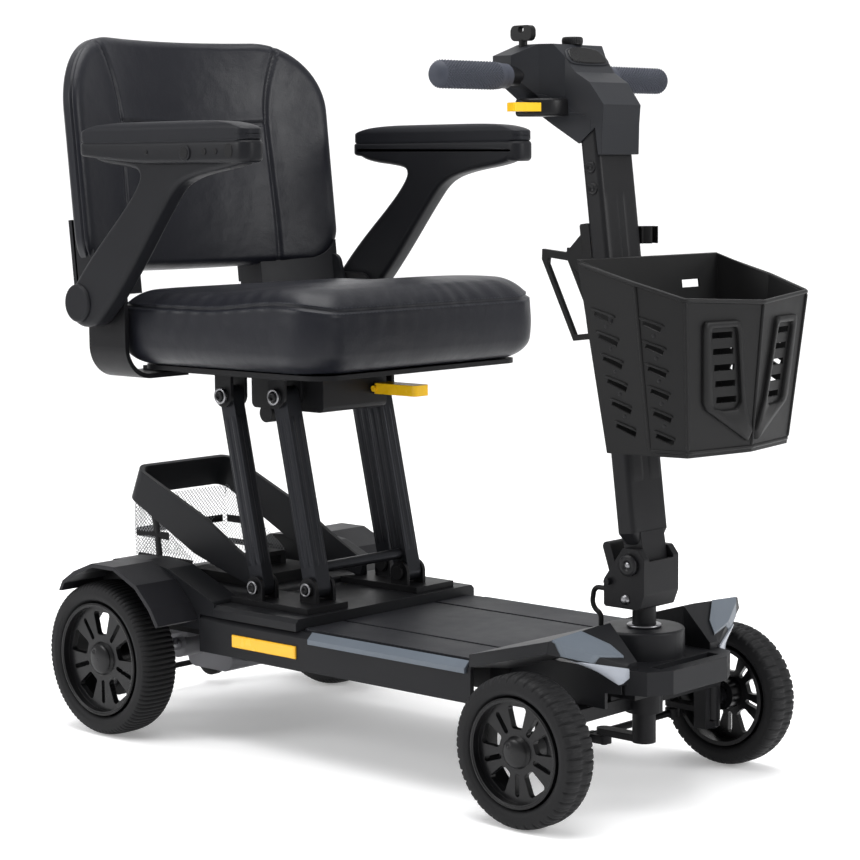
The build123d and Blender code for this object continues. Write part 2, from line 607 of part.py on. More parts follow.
# --- seat ------------------------------------------------------------------------------------
def leg_pair(low, high, y, thick):
    """One pair of parallel legs and the two cross bars that join them."""
    leg = link(low, high, LEG_W, -y - thick / 2, -y + thick / 2)
    leg -= pin(low, -200, 0, PIVOT_R + RUN) + pin(high, -200, 0, PIVOT_R + RUN)
    return both(leg)


def front_legs():
    """The front legs with the cross bar near their feet."""
    legs = leg_pair(FRONT_LOW, FRONT_HIGH, FRONT_LEG_Y, FRONT_LEG_T)
    share = 25 / LEG_LENGTH
    place = (FRONT_LOW[0] + share * LEG_RUN[0], FRONT_LOW[1] + share * LEG_RUN[1])
    return legs + pin(place, -FRONT_LEG_Y, FRONT_LEG_Y, 7)


def rear_legs():
    """The rear legs, outside and behind the front pair."""
    return leg_pair(REAR_LOW, REAR_HIGH, REAR_LEG_Y, REAR_LEG_T)


def ears(place, y, thick, z_foot, width):
    """The two ears that hold a right-hand pivot pin, standing on or hanging from z_foot."""
    shape = None
    for edge in (y - thick / 2 - GAP - 5, y + thick / 2 + GAP):
        ear = link(place, (place[0], (place[1] + z_foot) / 2), width, -edge - 5, -edge)
        low, high = min(place[1], z_foot), max(place[1], z_foot)
        ear += block(place[0] - width / 2, place[0] + width / 2, -edge - 5, -edge, low, high)
        shape = ear if shape is None else shape + ear
    return shape


def leg_bases():
    """The brackets on the deck that carry the legs and the storage hoop."""
    front = ears(FRONT_LOW, FRONT_LEG_Y, FRONT_LEG_T, STEP_TOP, 30)
    rear = ears(REAR_LOW, REAR_LEG_Y, REAR_LEG_T, STEP_TOP, 28)
    plate = block(DECK_REAR + 29, FRONT_LOW[0] + 34, -136, -64, STEP_TOP, STEP_TOP + 8)
    shape = plate + front + rear
    shape -= pin(FRONT_LOW, -200, 0, PIVOT_R) + pin(REAR_LOW, -200, 0, PIVOT_R)
    shape += link(HOOP_PIVOT, (HOOP_PIVOT[0], STEP_TOP + 6), 18, -97, -91)
    shape -= block(0, 400, -200, 0, 0, STEP_TOP)
    return both(shape - pin(HOOP_PIVOT, -200, 0, 4))


def bolt(place, y_low, y_high, radius):
    """A bolt along Y with a round head at each end."""
    shank = pin(place, y_low, y_high, radius)
    return shank + pin(place, y_low - 4, y_low, radius + 4) + pin(place, y_high, y_high + 4, radius + 4)


def pivot_bolts(front, rear):
    """The four bolts of one end of the legs."""
    front_edge = FRONT_LEG_T / 2 + GAP + 5
    rear_edge = REAR_LEG_T / 2 + GAP + 5
    bolts = bolt(front, -FRONT_LEG_Y - front_edge, -FRONT_LEG_Y + front_edge, PIVOT_R)
    return both(bolts), both(bolt(rear, -REAR_LEG_Y - rear_edge, -REAR_LEG_Y + rear_edge, PIVOT_R))


def seat_frame():
    """The seat carrier: housing between the legs, top ears, cross plate and round knob."""
    under = PAN_TOP - 12
    x_low, x_high = REAR_HIGH[0] - 26, FRONT_HIGH[0] + 42
    housing = block(x_low, x_high, -58, 58, under - 50, under)
    housing = fillet(housing.edges().filter_by(Axis.Y).group_by(Axis.Z)[0], 8)
    side = ears(FRONT_HIGH, FRONT_LEG_Y, FRONT_LEG_T, under, 30)
    side = side + ears(REAR_HIGH, REAR_LEG_Y, REAR_LEG_T, under, 30)
    side -= pin(FRONT_HIGH, -200, 0, PIVOT_R) + pin(REAR_HIGH, -200, 0, PIVOT_R)
    plate = block(SEAT_REAR - 20, SEAT_FRONT - 110, -150, 150, under, under + 6)
    knob = bar((REAR_HIGH[0] - 8, -50, under - 58), (REAR_HIGH[0] - 8, -30, under - 58), 12)
    return housing + both(side) + plate + knob


def seat_pan():
    """The board under the cushion."""
    outline = [(SEAT_REAR + 12, -SEAT_HALF_W + 24), (SEAT_FRONT - 16, -SEAT_HALF_W + 24),
               (SEAT_FRONT - 16, SEAT_HALF_W - 24), (SEAT_REAR + 12, SEAT_HALF_W - 24)]
    return flat_plate(outline, PAN_TOP - 6, PAN_TOP, 30)


def seat_cushion():
    """The seat pad, thicker at its rounded front edge."""
    side = [(SEAT_REAR, SEAT_BASE + 4), (SEAT_REAR + 60, SEAT_BASE), (SEAT_FRONT - 30, SEAT_BASE),
            (SEAT_FRONT - 8, SEAT_BASE + 14), (SEAT_FRONT, SEAT_TOP - 42), (SEAT_FRONT - 16, SEAT_TOP - 4),
            (SEAT_FRONT - 60, SEAT_TOP + 4), (SEAT_REAR + 160, SEAT_TOP), (SEAT_REAR, SEAT_TOP - 6)]
    pad = side_plate(side, -SEAT_HALF_W, SEAT_HALF_W, 6)
    plan = Pos((SEAT_REAR + SEAT_FRONT) / 2 - 40, 0) * RectangleRounded(SEAT_LENGTH + 80, 2 * SEAT_HALF_W, 78)
    rear = Pos((SEAT_REAR + SEAT_FRONT) / 2 + 60, 0) * RectangleRounded(SEAT_LENGTH + 120, 2 * SEAT_HALF_W, 40)
    return pad & extrude(plan, 999) & extrude(rear, 999)


def release_lever():
    """The lever that unlocks the seat's fold."""
    x, y, z = FRONT_HIGH[0] + 30, 44.0, PAN_TOP - 36
    grip = block(x + 14, x + 90, y - 14, y + 14, z - 7, z + 7)
    grip = fillet(grip.edges().filter_by(Axis.Z), 6) + block(x + 12.5, x + 20, y - 8, y + 8, z - 4, z + 4)
    return grip + pin((x + 18, z), y - 17, y + 17, 4)


def arm_bracket():
    """The right-hand bent bar that rises from under the seat to the armrest's pivot."""
    low, high = PAN_TOP - 12 - 6, ARM_PIVOT[1] + 22
    outer, thick, bend = ARM_Y - 1, 6.0, 42.0
    rear, front = SEAT_REAR - 36, SEAT_REAR + 36
    corner = block(rear, front, -outer, -120, low, high)
    corner = fillet(corner.edges().filter_by(Axis.X).group_by(Axis.Z)[0].sort_by(Axis.Y)[0], bend)
    hollow = block(rear - 1, front + 1, -outer + thick, -110, low + thick, high + 10)
    hollow = fillet(hollow.edges().filter_by(Axis.X).group_by(Axis.Z)[0].sort_by(Axis.Y)[0], bend - thick)
    bracket = corner - hollow
    bracket = fillet(bracket.edges().filter_by(Axis.Y).group_by(Axis.Z)[-1], 20)
    return bracket + pin(ARM_PIVOT, -ARM_Y - ARM_T + 3, -SEAT_HALF_W - 1, 8)


def arm():
    """The right armrest: a boss, a leaning arm and the rail under the pad."""
    x, z = ARM_PIVOT
    outline = [(x - 26, z + 2), (x - 18, z - 22), (x + 8, z - 34), (x + 31, z - 31), (x + 92, z + 31),
               (x + 171, z + 131),
               (x + 209, z + 158), (x + 306, z + 172), (x + 318, z + 196), (x + 38, z + 196),
               (x + 50, z + 178),
               (x + 120, z + 170), (x + 115, z + 152), (x + 95, z + 124), (x - 10, z + 24)]
    shape = side_plate(outline, -ARM_Y - ARM_T, -ARM_Y, 5)
    shape += pin(ARM_PIVOT, -ARM_Y - ARM_T - 4, -ARM_Y, 24)
    return shape - pin(ARM_PIVOT, -ARM_Y - ARM_T + 2.5, -ARM_Y + 1, 8 + RUN)


def arm_pad():
    """The pad on top of the right armrest."""
    x, z = ARM_PIVOT
    outline = [(x + 14, z + 212), (x + 30, z + 196), (x + 324, z + 196), (x + 326, z + 220),
               (x + 316, z + 226),
               (x + 36, z + 224)]
    pad = side_plate(outline, -ARM_Y - ARM_T - 9, -ARM_Y - 1, 3)
    return pad


def back_band(thick, ahead, z_low, z_high, half):
    """A curved slab across the seat's back, its sides swept forward, leaning back."""
    x = BACK_HINGE[0] - 52 + ahead
    sweep_x = 58.0
    front = ThreePointArc((x + sweep_x, -half), (x, 0), (x + sweep_x, half))
    rear = ThreePointArc((x + sweep_x - thick * 0.8, -half), (x - thick, 0), (x + sweep_x - thick * 0.8, half))
    edges = [front, Line((x + sweep_x, half), (x + sweep_x - thick * 0.8, half)), rear,
             Line((x + sweep_x - thick * 0.8, -half), (x + sweep_x, -half))]
    slab = extrude(Pos(0, 0, z_low) * make_face(edges), z_high - z_low)
    return turned(slab, BACK_HINGE, -BACK_LEAN)


BACK_LEAN = 6.0


def back_mask(half, z_low, z_high, corner_low, corner_high):
    """The rounded front outline of the seat's back, as a long bar along X."""
    outline = [(-half, z_low), (half, z_low), (half, z_high), (-half, z_high)]
    face = make_face(Polyline(*outline, close=True))
    lower = face.vertices().group_by(Axis.Y)[0]
    upper = face.vertices().group_by(Axis.Y)[-1]
    face = fillet(lower, corner_low)
    face = fillet(face.vertices().group_by(Axis.Y)[-1], corner_high)
    plane = Plane(origin=(-300, 0, 0), x_dir=(0, 1, 0), z_dir=(1, 0, 0))
    return turned(extrude(plane * face, 600), BACK_HINGE, -BACK_LEAN)


def back_cushion():
    """The padded back."""
    low = BACK_HINGE[1] + 46
    return back_band(BACK_THICK, 0, low, low + BACK_HEIGHT, BACK_HALF_W) & back_mask(
        BACK_HALF_W - 0.5, low, low + BACK_HEIGHT, 40, 95)


POST_THICK = 46.0


def back_frame(cushion):
    """The hard shell behind the pad with two posts down to the hinge."""
    low = BACK_HINGE[1] + 62
    shell = back_band(5, -BACK_THICK - 0.5, low, low + BACK_HEIGHT - 40, BACK_HALF_W) & back_mask(
        BACK_HALF_W - 20, low, low + BACK_HEIGHT - 40, 30, 80)
    x, z = BACK_HINGE
    hinge_y = -ARM_Y + 7
    post = back_band(POST_THICK, -6, z + 10, z + 80, BACK_HALF_W) + back_band(
        8, -BACK_THICK - 0.5, z + 20, z + 110, BACK_HALF_W)
    post &= block(-300, 300, hinge_y, -110, 0, 999)
    post += link((x, z), (x - 10, z + 34), 28, hinge_y, hinge_y + 6)
    post = post - cushion - Pos(-GAP, 0, 0) * cushion - Pos(0, 0, -GAP) * cushion
    post = post - pin(BACK_HINGE, -300, 0, 8 + RUN)
    return both(max(post.solids(), key=lambda solid: solid.volume)) + shell


# --- storage hoop ----------------------------------------------------------------------------
HOOP_LENGTH = 285.0
HOOP_HALF = 90.0
HOOP_BAND = 44.0
HOOP_T = 6.0


def hoop_frame():
    """The wide flat band of the storage hoop, narrow at its pivots and joined behind."""
    outer = Pos(HOOP_LENGTH / 2 - 40, 0) * RectangleRounded(HOOP_LENGTH + 80, 2 * HOOP_HALF, 22)
    hollow = RectangleRounded(HOOP_LENGTH + 80, 2 * HOOP_HALF - 2 * HOOP_T, 17)
    inner = Pos(HOOP_LENGTH / 2 - 40 - HOOP_T, 0) * hollow
    wall = extrude(Pos(0, 0, -60) * (outer - inner), 120)
    half = HOOP_BAND / 2
    profile = [(-13, -9), (0, -13), (60, -half), (130, -half - 8), (HOOP_LENGTH + 2, -half),
               (HOOP_LENGTH + 2, half),
               (130, half + 2), (60, half - 6), (0, 13), (-13, 9)]
    band = wall & side_plate(profile, -120, 120)
    band -= pin((0, 0), -120, 120, 4 + RUN)
    placed = Rot(0, HOOP_SLOPE, 0) * mirror(band, about=Plane.YZ)
    return Pos(HOOP_PIVOT[0], 0, HOOP_PIVOT[1]) * placed


def mesh_bag():
    """The net bag that hangs inside the hoop, open at the top."""
    half = HOOP_HALF - HOOP_T - 1.5
    low = STEP_TOP + 26
    outline = [(-93, low), (28, low), (34, low + 4), (-62, low + 78), (-84, low + 92)]
    bag = side_plate(outline, -half, half, 3)
    inner = [(-90, low + 3), (24, low + 3), (24, low + 14), (-60, low + 80), (-60, low + 120),
             (-80, low + 120)]
    return bag - side_plate(inner, -half + 3, half - 3)


# --- front shroud ----------------------------------------------------------------------------
FENDER_DATUM = 168.0  # deck height at which the fender outlines are given


def fender_block():
    """The right front fender as straight-sided facets: rising top, then the sloping nose."""
    x = WHEELBASE
    tail = [(x - 106, -90, 150), (x - 106, -90, 179), (x - 106, -168, 179), (x - 106, -168, 164)]
    ridge = [(x + 24, -90, 190), (x + 24, -90, 218), (x + 24, -180, 213), (x + 24, -184, 199)]
    lifted = [[(a, b, c - FENDER_DATUM + DECK_TOP) for a, b, c in outline] for outline in (tail, ridge)]
    wing = ruled(*lifted)
    nose_rear = [(x + 24, -70, 160), (x + 24, -70, 218), (x + 24, -126, 216), (x + 24, -180, 213),
                 (x + 24, -184, 199),
                 (x + 24, -120, 180)]
    nose_front = [(x + 63, -70, 152), (x + 63, -70, 178), (x + 63, -84, 178), (x + 63, -88, 176),
                  (x + 63, -92, 170),
                  (x + 63, -100, 155)]
    nose = [[(a, b, c - FENDER_DATUM + DECK_TOP) for a, b, c in outline] for outline in (nose_rear, nose_front)]
    return wing + ruled(*nose)


def front_shroud():
    """The front moulding: boss round the column, fenders, and the bumper with its hand slot."""
    low = BEAM_Z[1] + 1
    body = flat_plate([(DECK_FRONT, -95), (WHEELBASE + 39, -95), (WHEELBASE + 57, -90), (WHEELBASE + 85, -80),
                       (WHEELBASE + 101, -52), (WHEELBASE + 101, 52), (WHEELBASE + 85, 80),
                       (WHEELBASE + 57, 90),
                       (WHEELBASE + 39, 95), (DECK_FRONT, 95)], DECK_TOP - 26, DECK_TOP + 2)
    belly = block(DECK_FRONT, WHEELBASE + 36, -95, 95, low, DECK_TOP - 10)
    shroud = body + belly
    shroud -= block(DECK_FRONT - 1, WHEELBASE + 60, -90, 90, low - 1, DECK_TOP - SKIN)
    boss = bar((COLUMN_X - 3, 0, DECK_TOP - 10), (COLUMN_X - 3, 0, DECK_TOP + 35), 50)
    boss = fillet(boss.edges().group_by(Axis.Z)[-1], 3)
    boss -= bar((COLUMN_X - 3, 0, DECK_TOP - 12), (COLUMN_X - 3, 0, DECK_TOP + 30), 46)
    shroud += boss + both(fender_block())
    shroud -= block(WHEELBASE + 70, WHEELBASE + 86, -56, 56, 0, 999)
    return shroud - bar((COLUMN_X, 0, 0), (COLUMN_X, 0, 400), COLUMN_R + 2)


def fender_panel(shroud):
    """The slate insert on the right fender's sloping nose, standing a little proud."""
    x = WHEELBASE
    region = flat_plate([(x + 25, -126), (x + 25, -176), (x + 42, -152), (x + 57, -87),
                         (x + 44, -95)], DECK_TOP - 20, 400)
    return (Pos(1.6, 0, 1.2) * fender_block() & region) - shroud


def lens(shroud):
    """The clear reflector below the right slate insert."""
    z = DECK_TOP
    region = cross_plate([(-147, z + 19), (-88, z + 5), (-84, z - 5),
                          (-106, z - 13)], WHEELBASE + 26, WHEELBASE + 90)
    return (Pos(2.4, -1.2, -1.0) * fender_block() & region) - shroud - fender_panel(shroud)


def side_reflector():
    """The amber reflector bar on the right side of the deck."""
    bar_plate = block(DECK_REAR + 64, STEP_X, -DECK_HALF_W - 3, -DECK_HALF_W, DECK_TOP - 34, DECK_TOP - 18)
    return chamfer(bar_plate.edges().group_by(Axis.Y)[0], 1.2)


def harness_cable():
    """The short cable loop from the fork down into the boss."""
    x, z = HINGE
    foot = DECK_TOP + 35
    route = FilletPolyline((x - 38, -28, z - 32), (x - 56, -28, z - 32), (x - 60, -28, z - 56), (x - 46, -28, foot + 14),
                           (x - 46, -28, foot), radius=[9.0, 14.0, 8.0])
    start = Plane(origin=route @ 0, z_dir=route % 0)
    return sweep(start * Circle(3), path=route)


def handlebar():
    """The steel tube of the handlebar."""
    x, z = BAR_PLACE
    return bar((x, -BAR_HALF, z), (x, BAR_HALF, z), BAR_R)


# --- every piece, by name --------------------------------------------------------------------
shroud = front_shroud()
head_upper, head_lower = head_parts()
leg_bolts = pivot_bolts(FRONT_LOW, REAR_LOW)
top_bolts = pivot_bolts(FRONT_HIGH, REAR_HIGH)
back_pad = back_cushion()
pieces = {
    "chassis_frame": chassis_frame() + front_axle_beam(),
    "deck_shell": deck_shell(),
    "deck_mat": deck_mat(),
    "slate_inserts": both(slate_strip() + other(fender_panel(shroud))),
    "side_reflectors": both(side_reflector()),
    "rear_body_cover": rear_body(),
    "rear_fenders": both(rear_fender()),
    "front_shroud": shroud,
    "front_lenses": both(lens(shroud)),
    "leg_bases": leg_bases(),
    "leg_pivot_bolts": leg_bolts[0] + leg_bolts[1],
    "transaxle": transaxle(),
    "drive_motor": drive_motor(),
    "battery_pack": battery_pack(),
    "anti_tip_arms": anti_tip_arms(),
    "anti_tip_wheels": anti_tip_wheels(),
    "rear_tyre_right": rear_tyre,
    "rear_tyre_left": other(rear_tyre),
    "rear_rim_right": rear_rim,
    "rear_rim_left": other(rear_rim),
    "half_axle_right": half_axle,
    "half_axle_left": other(half_axle),
    "front_tyre_right": front_tyre,
    "front_tyre_left": other(front_tyre),
    "front_rim_right": front_rim,
    "front_rim_left": other(front_rim),
    "knuckle_right": knuckle(),
    "knuckle_left": other(knuckle()),
    "tie_rod": tie_rod(),
    "steering_column": steering_column(),
    "tiller_latch": tiller_latch(),
    "harness_cable": harness_cable(),
    "mast": mast(),
    "tiller_head": head_upper,
    "head_underside": head_lower,
    "handlebar": handlebar(),
    "grips": grips(),
    "ignition_key": ignition_key(),
    "speed_dial": speed_dial(),
    "forward_lever": throttle_lever(-1),
    "reverse_lever": throttle_lever(1),
    "accessory_clip": accessory_clip(),
    "bottle_cage": bottle_cage(),
    "basket_bracket": basket_bracket(),
    "basket": basket(),
    "front_legs": front_legs(),
    "rear_legs": rear_legs(),
    "seat_frame": seat_frame() + seat_pan(),
    "seat_pivot_bolts": top_bolts[0] + top_bolts[1],
    "seat_cushion": seat_cushion(),
    "release_lever": release_lever(),
    "arm_brackets": both(arm_bracket()),
    "arm_right": arm(),
    "arm_left": other(arm()),
    "arm_pad_right": arm_pad(),
    "arm_pad_left": other(arm_pad()),
    "back_frame": back_frame(back_pad),
    "back_cushion": back_pad,
    "hoop_frame": hoop_frame(),
    "mesh_bag": mesh_bag(),
}

boxes = [piece.bounding_box() for piece in pieces.values()]
ORIGIN_X = (min(box.min.X for box in boxes) + max(box.max.X for box in boxes)) / 2
FLOOR_Z = min(box.min.Z for box in boxes)
for name, piece in pieces.items():
    export_step(Pos(-ORIGIN_X, 0, -FLOOR_Z) * piece, f"parts/{name}.step")
print(f"{len(pieces)} pieces, origin {ORIGIN_X:.2f} mm ahead of the rear axle, floor {FLOOR_Z:.2f}")
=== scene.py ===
import bmesh
import bpy
import json
import math
import numpy as np
from mathutils import Matrix, Vector


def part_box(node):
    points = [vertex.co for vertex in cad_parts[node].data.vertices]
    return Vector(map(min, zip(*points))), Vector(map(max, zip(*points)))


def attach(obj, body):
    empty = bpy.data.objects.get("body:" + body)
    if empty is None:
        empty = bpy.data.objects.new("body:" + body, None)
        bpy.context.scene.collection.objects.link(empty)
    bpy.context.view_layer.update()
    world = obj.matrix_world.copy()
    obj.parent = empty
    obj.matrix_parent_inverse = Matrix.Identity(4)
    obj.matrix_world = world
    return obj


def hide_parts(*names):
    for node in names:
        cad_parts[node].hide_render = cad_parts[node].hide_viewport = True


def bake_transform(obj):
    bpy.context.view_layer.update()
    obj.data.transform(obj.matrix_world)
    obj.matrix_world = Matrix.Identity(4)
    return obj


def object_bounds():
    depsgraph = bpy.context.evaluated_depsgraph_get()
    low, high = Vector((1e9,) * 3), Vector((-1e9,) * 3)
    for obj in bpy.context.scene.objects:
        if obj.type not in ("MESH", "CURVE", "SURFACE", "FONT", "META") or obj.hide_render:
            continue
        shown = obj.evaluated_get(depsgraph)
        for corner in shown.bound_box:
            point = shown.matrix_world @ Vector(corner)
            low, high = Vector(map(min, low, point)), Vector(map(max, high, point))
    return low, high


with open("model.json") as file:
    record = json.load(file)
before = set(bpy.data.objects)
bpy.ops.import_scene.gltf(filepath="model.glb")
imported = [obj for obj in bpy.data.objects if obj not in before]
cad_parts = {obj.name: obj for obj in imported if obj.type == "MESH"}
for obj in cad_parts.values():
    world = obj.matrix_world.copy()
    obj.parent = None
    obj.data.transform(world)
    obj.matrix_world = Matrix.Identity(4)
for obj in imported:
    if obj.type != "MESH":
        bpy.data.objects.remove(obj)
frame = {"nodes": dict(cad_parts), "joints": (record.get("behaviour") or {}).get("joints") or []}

cad_box = [list(map(float, corner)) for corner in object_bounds()]

# --- Studio ---
# A seamless pale paper sweep, lit by one wide overhead panel, a side panel and a low front fill.
# The camera looks down a little from front right.
view_az, view_dip, view_roll = (math.radians(a) for a in (42.816, 6.314, -0.501))
look = Vector((-math.sin(view_az) * math.cos(view_dip), math.cos(view_az) * math.cos(view_dip),
               -math.sin(view_dip)))
right = Vector((math.cos(view_az), math.sin(view_az), 0.0))
up = right.cross(look)
tilted_right = math.cos(view_roll) * right + math.sin(view_roll) * up
tilted_up = -math.sin(view_roll) * right + math.cos(view_roll) * up
studio_camera = bpy.data.objects.new("studio_camera", bpy.data.cameras.new("studio_camera"))
studio_camera.data.lens = 99.08
studio_camera.data.sensor_width = 36.0
studio_camera.matrix_world = Matrix.Translation((2.0294, -2.1718, 0.7385)) @ Matrix(
    (tilted_right, tilted_up, -look)).transposed().to_4x4()
bpy.context.scene.collection.objects.link(studio_camera)
bpy.context.scene.camera = studio_camera


def soft_panel(name, place, target, size, power):
    """A square light panel at a place, facing a target."""
    panel = bpy.data.lights.new(name, "AREA")
    panel.shape, panel.size, panel.energy = "SQUARE", size, power
    lamp = bpy.data.objects.new(name, panel)
    aim = (Vector(target) - Vector(place)).to_track_quat("-Z", "Y")
    lamp.matrix_world = Matrix.Translation(place) @ aim.to_matrix().to_4x4()
    bpy.context.scene.collection.objects.link(lamp)


def values(node, **amounts):
    """The node's inputs take these amounts; an underscore in a name stands for a space."""
    for label, amount in amounts.items():
        node.inputs[label.replace("_", " ")].default_value = amount


def wire(tree, *links):
    """Links between nodes, each given as (node, output, node, input)."""
    for source, output, target, entry in links:
        tree.links.new(source.outputs[output], target.inputs[entry])


soft_panel("overhead_panel", (0.1, -0.2, 3.0), (0, 0, 0.3), 2.8, 112)
soft_panel("side_panel", (-1.6, -2.6, 1.7), (0, 0, 0.4), 1.2, 38)
soft_panel("front_panel", (2.9, 0.9, 1.5), (0.1, 0, 0.4), 1.2, 42)
room = bpy.data.worlds.new("white_room")
room.use_nodes = True
values(room.node_tree.nodes["Background"], Color=(1, 1, 1, 1), Strength=0.5)
bpy.context.scene.world = room
bpy.context.scene.view_settings.view_transform = "Standard"


def quads(rows, columns, wrap_rows=False, wrap_columns=False):
    """The four-cornered faces of a grid of points, joined round where it wraps."""
    r = np.arange(rows if wrap_rows else rows - 1)
    c = np.arange(columns if wrap_columns else columns - 1)
    r, c = (a.ravel() for a in np.meshgrid(r, c, indexing="ij"))
    r2, c2 = (r + 1) % rows, (c + 1) % columns
    return np.stack([r * columns + c, r * columns + c2, r2 * columns + c2, r2 * columns + c], 1)


def make(name, points, faces, material):
    """A mesh object at the origin from an array of points in metres and an array of faces."""
    mesh = bpy.data.meshes.new(name)
    corners = np.asarray(points, float).reshape(-1, 3).tolist()
    mesh.from_pydata(corners, [], [list(map(int, face)) for face in faces])
    mesh.polygons.foreach_set("use_smooth", np.ones(len(mesh.polygons), bool))
    mesh.materials.append(material)
    mesh.validate()
    piece = bpy.data.objects.new(name, mesh)
    bpy.context.scene.collection.objects.link(piece)
    return piece


def fitted(piece, body, slot, *replaced):
    """The piece rides on a body and stands for the named nodes; the slot is not used."""
    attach(piece, body)
    if replaced:
        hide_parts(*replaced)
    return piece


paper = bpy.data.materials.new("white_paper")
paper.use_nodes = True
values(paper.node_tree.nodes["Principled BSDF"], Base_Color=(0.93, 0.93, 0.935, 1), Roughness=0.9,
       Emission_Color=(1, 1, 1, 1), Emission_Strength=0.24)
# The sweep is a straight floor that turns up through a quarter circle behind the object.
arc = np.linspace(0.1, math.pi / 2, 16)
arc_radius, arc_start = 2.2, 3
along = np.concatenate([np.linspace(-7, 3, 12), arc_start + arc_radius * np.sin(arc), [5.2]])
height = np.concatenate([np.zeros(12), arc_radius - arc_radius * np.cos(arc), [8.0]])
a, b = np.meshgrid(along, np.linspace(-9, 9, 10), indexing="ij")
sweep = np.stack([a * look.x / math.cos(view_dip) + b * right.x, a * look.y / math.cos(view_dip) + b * right.y,
                  np.repeat(height[:, None], 10, 1) + cad_box[0][2] - 0.0002], -1)
make("paper_sweep", sweep, quads(*a.shape), paper)

# --- Shared finishes ---
# Moulded, cast and painted surfaces all show a fine skin: small pits, a slow change of tone and a
# little handling haze. One node group gives those as values, and each material uses its own amounts.
skin = bpy.data.node_groups.new("surface_skin", "ShaderNodeTree")
for label, start in (("Scale", 900.0), ("Slow Scale", 9.0)):
    socket = skin.interface.new_socket(label, in_out="INPUT", socket_type="NodeSocketFloat")
    socket.default_value = start
for label in ("Pits", "Haze"):
    skin.interface.new_socket(label, in_out="OUTPUT", socket_type="NodeSocketFloat")
place, given, result = (skin.nodes.new(kind) for kind in (
    "ShaderNodeTexCoord", "NodeGroupInput", "NodeGroupOutput"))
fine, slow, worn = (skin.nodes.new("ShaderNodeTexNoise") for _ in range(3))
values(fine, Detail=3.0)
values(slow, Detail=6.0)
values(worn, Scale=60.0)
mixed = skin.nodes.new("ShaderNodeMath")
mixed.operation = "MULTIPLY_ADD"
mixed.inputs[1].default_value = 0.35
for noise in (fine, slow, worn):
    wire(skin, (place, "Object", noise, "Vector"))
wire(skin, (given, "Scale", fine, "Scale"), (given, "Slow Scale", slow, "Scale"), (worn, "Fac", mixed, 0),
     (slow, "Fac", mixed, 2), (fine, "Fac", result, "Pits"), (mixed, 0, result, "Haze"))
TINT_SPREAD = 0.12


def surface(name, colour, roughness, pits=0.2, scale=900.0, metallic=0.0, edge=0.0012, coat=0.0, gloss=0.16):
    """A material: colour and roughness vary with the haze, the pits and softened edges bend the normal."""
    material = bpy.data.materials.new(name)
    material.use_nodes = True
    tree = material.node_tree
    shader = tree.nodes["Principled BSDF"]
    group, tint, rough, bump = (tree.nodes.new(kind) for kind in (
        "ShaderNodeGroup", "ShaderNodeMixRGB", "ShaderNodeMapRange", "ShaderNodeBump"))
    group.node_tree = skin
    values(group, Scale=scale)
    values(tint, Color1=(*[c * (1 - TINT_SPREAD) for c in colour], 1),
           Color2=(*[min(1.0, c * (1 + TINT_SPREAD)) for c in colour], 1))
    values(rough, From_Min=0.35, From_Max=0.95, To_Min=roughness - 0.05, To_Max=roughness + 0.08)
    values(bump, Strength=pits, Distance=0.0004)
    values(shader, Metallic=metallic, Coat_Weight=coat, Specular_IOR_Level=gloss, Coat_Roughness=0.25)
    wire(tree, (group, "Haze", tint, "Fac"), (group, "Haze", rough, "Value"), (group, "Pits", bump, "Height"),
         (tint, "Color", shader, "Base Color"), (rough, "Result", shader, "Roughness"),
         (bump, "Normal", shader, "Normal"))
    if edge:
        softened = tree.nodes.new("ShaderNodeBevel")
        values(softened, Radius=edge)
        wire(tree, (softened, "Normal", bump, "Normal"))
    return material


def dress(material, *names):
    """The material goes on the named nodes of the frame."""
    for name in names:
        for slot in frame["nodes"][name].material_slots:
            slot.material = material


# --- Chassis steel ---
# Welded box rails, the axle beam, the arms of the anti-tip wheels and the brackets on the deck are
# mild steel with satin black powder paint; the knuckles and the tie rod have the same coat.
powder = surface("black_powder_coat", (0.0060, 0.0060, 0.0070), 0.42, pits=0.25, scale=700)
dress(powder, "chassis_frame", "anti_tip_arms", "leg_bases", "knuckle_right", "knuckle_left", "tie_rod",
      "steering_column", "tiller_latch", "basket_bracket", "seat_frame", "arm_brackets", "handlebar")
dress(surface("roller_rubber", (0.0056, 0.0056, 0.0060), 0.7), "anti_tip_wheels")
dress(surface("cast_alloy", (0.16, 0.16, 0.17), 0.45, pits=0.5, scale=500, metallic=0.8), "transaxle")
dress(surface("motor_paint", (0.0063, 0.0063, 0.0070), 0.35), "drive_motor")
dress(surface("bright_steel", (0.55, 0.55, 0.57), 0.25, metallic=1.0, pits=0.05), "half_axle_right", "half_axle_left")
dress(surface("battery_case", (0.0063, 0.0063, 0.0070), 0.55, pits=0.5), "battery_pack")
dress(surface("bolt_black", (0.0144, 0.0144, 0.0152), 0.35, metallic=0.3), "leg_pivot_bolts")
dress(surface("cable_jacket", (0.0056, 0.0056, 0.0060), 0.4), "harness_cable")

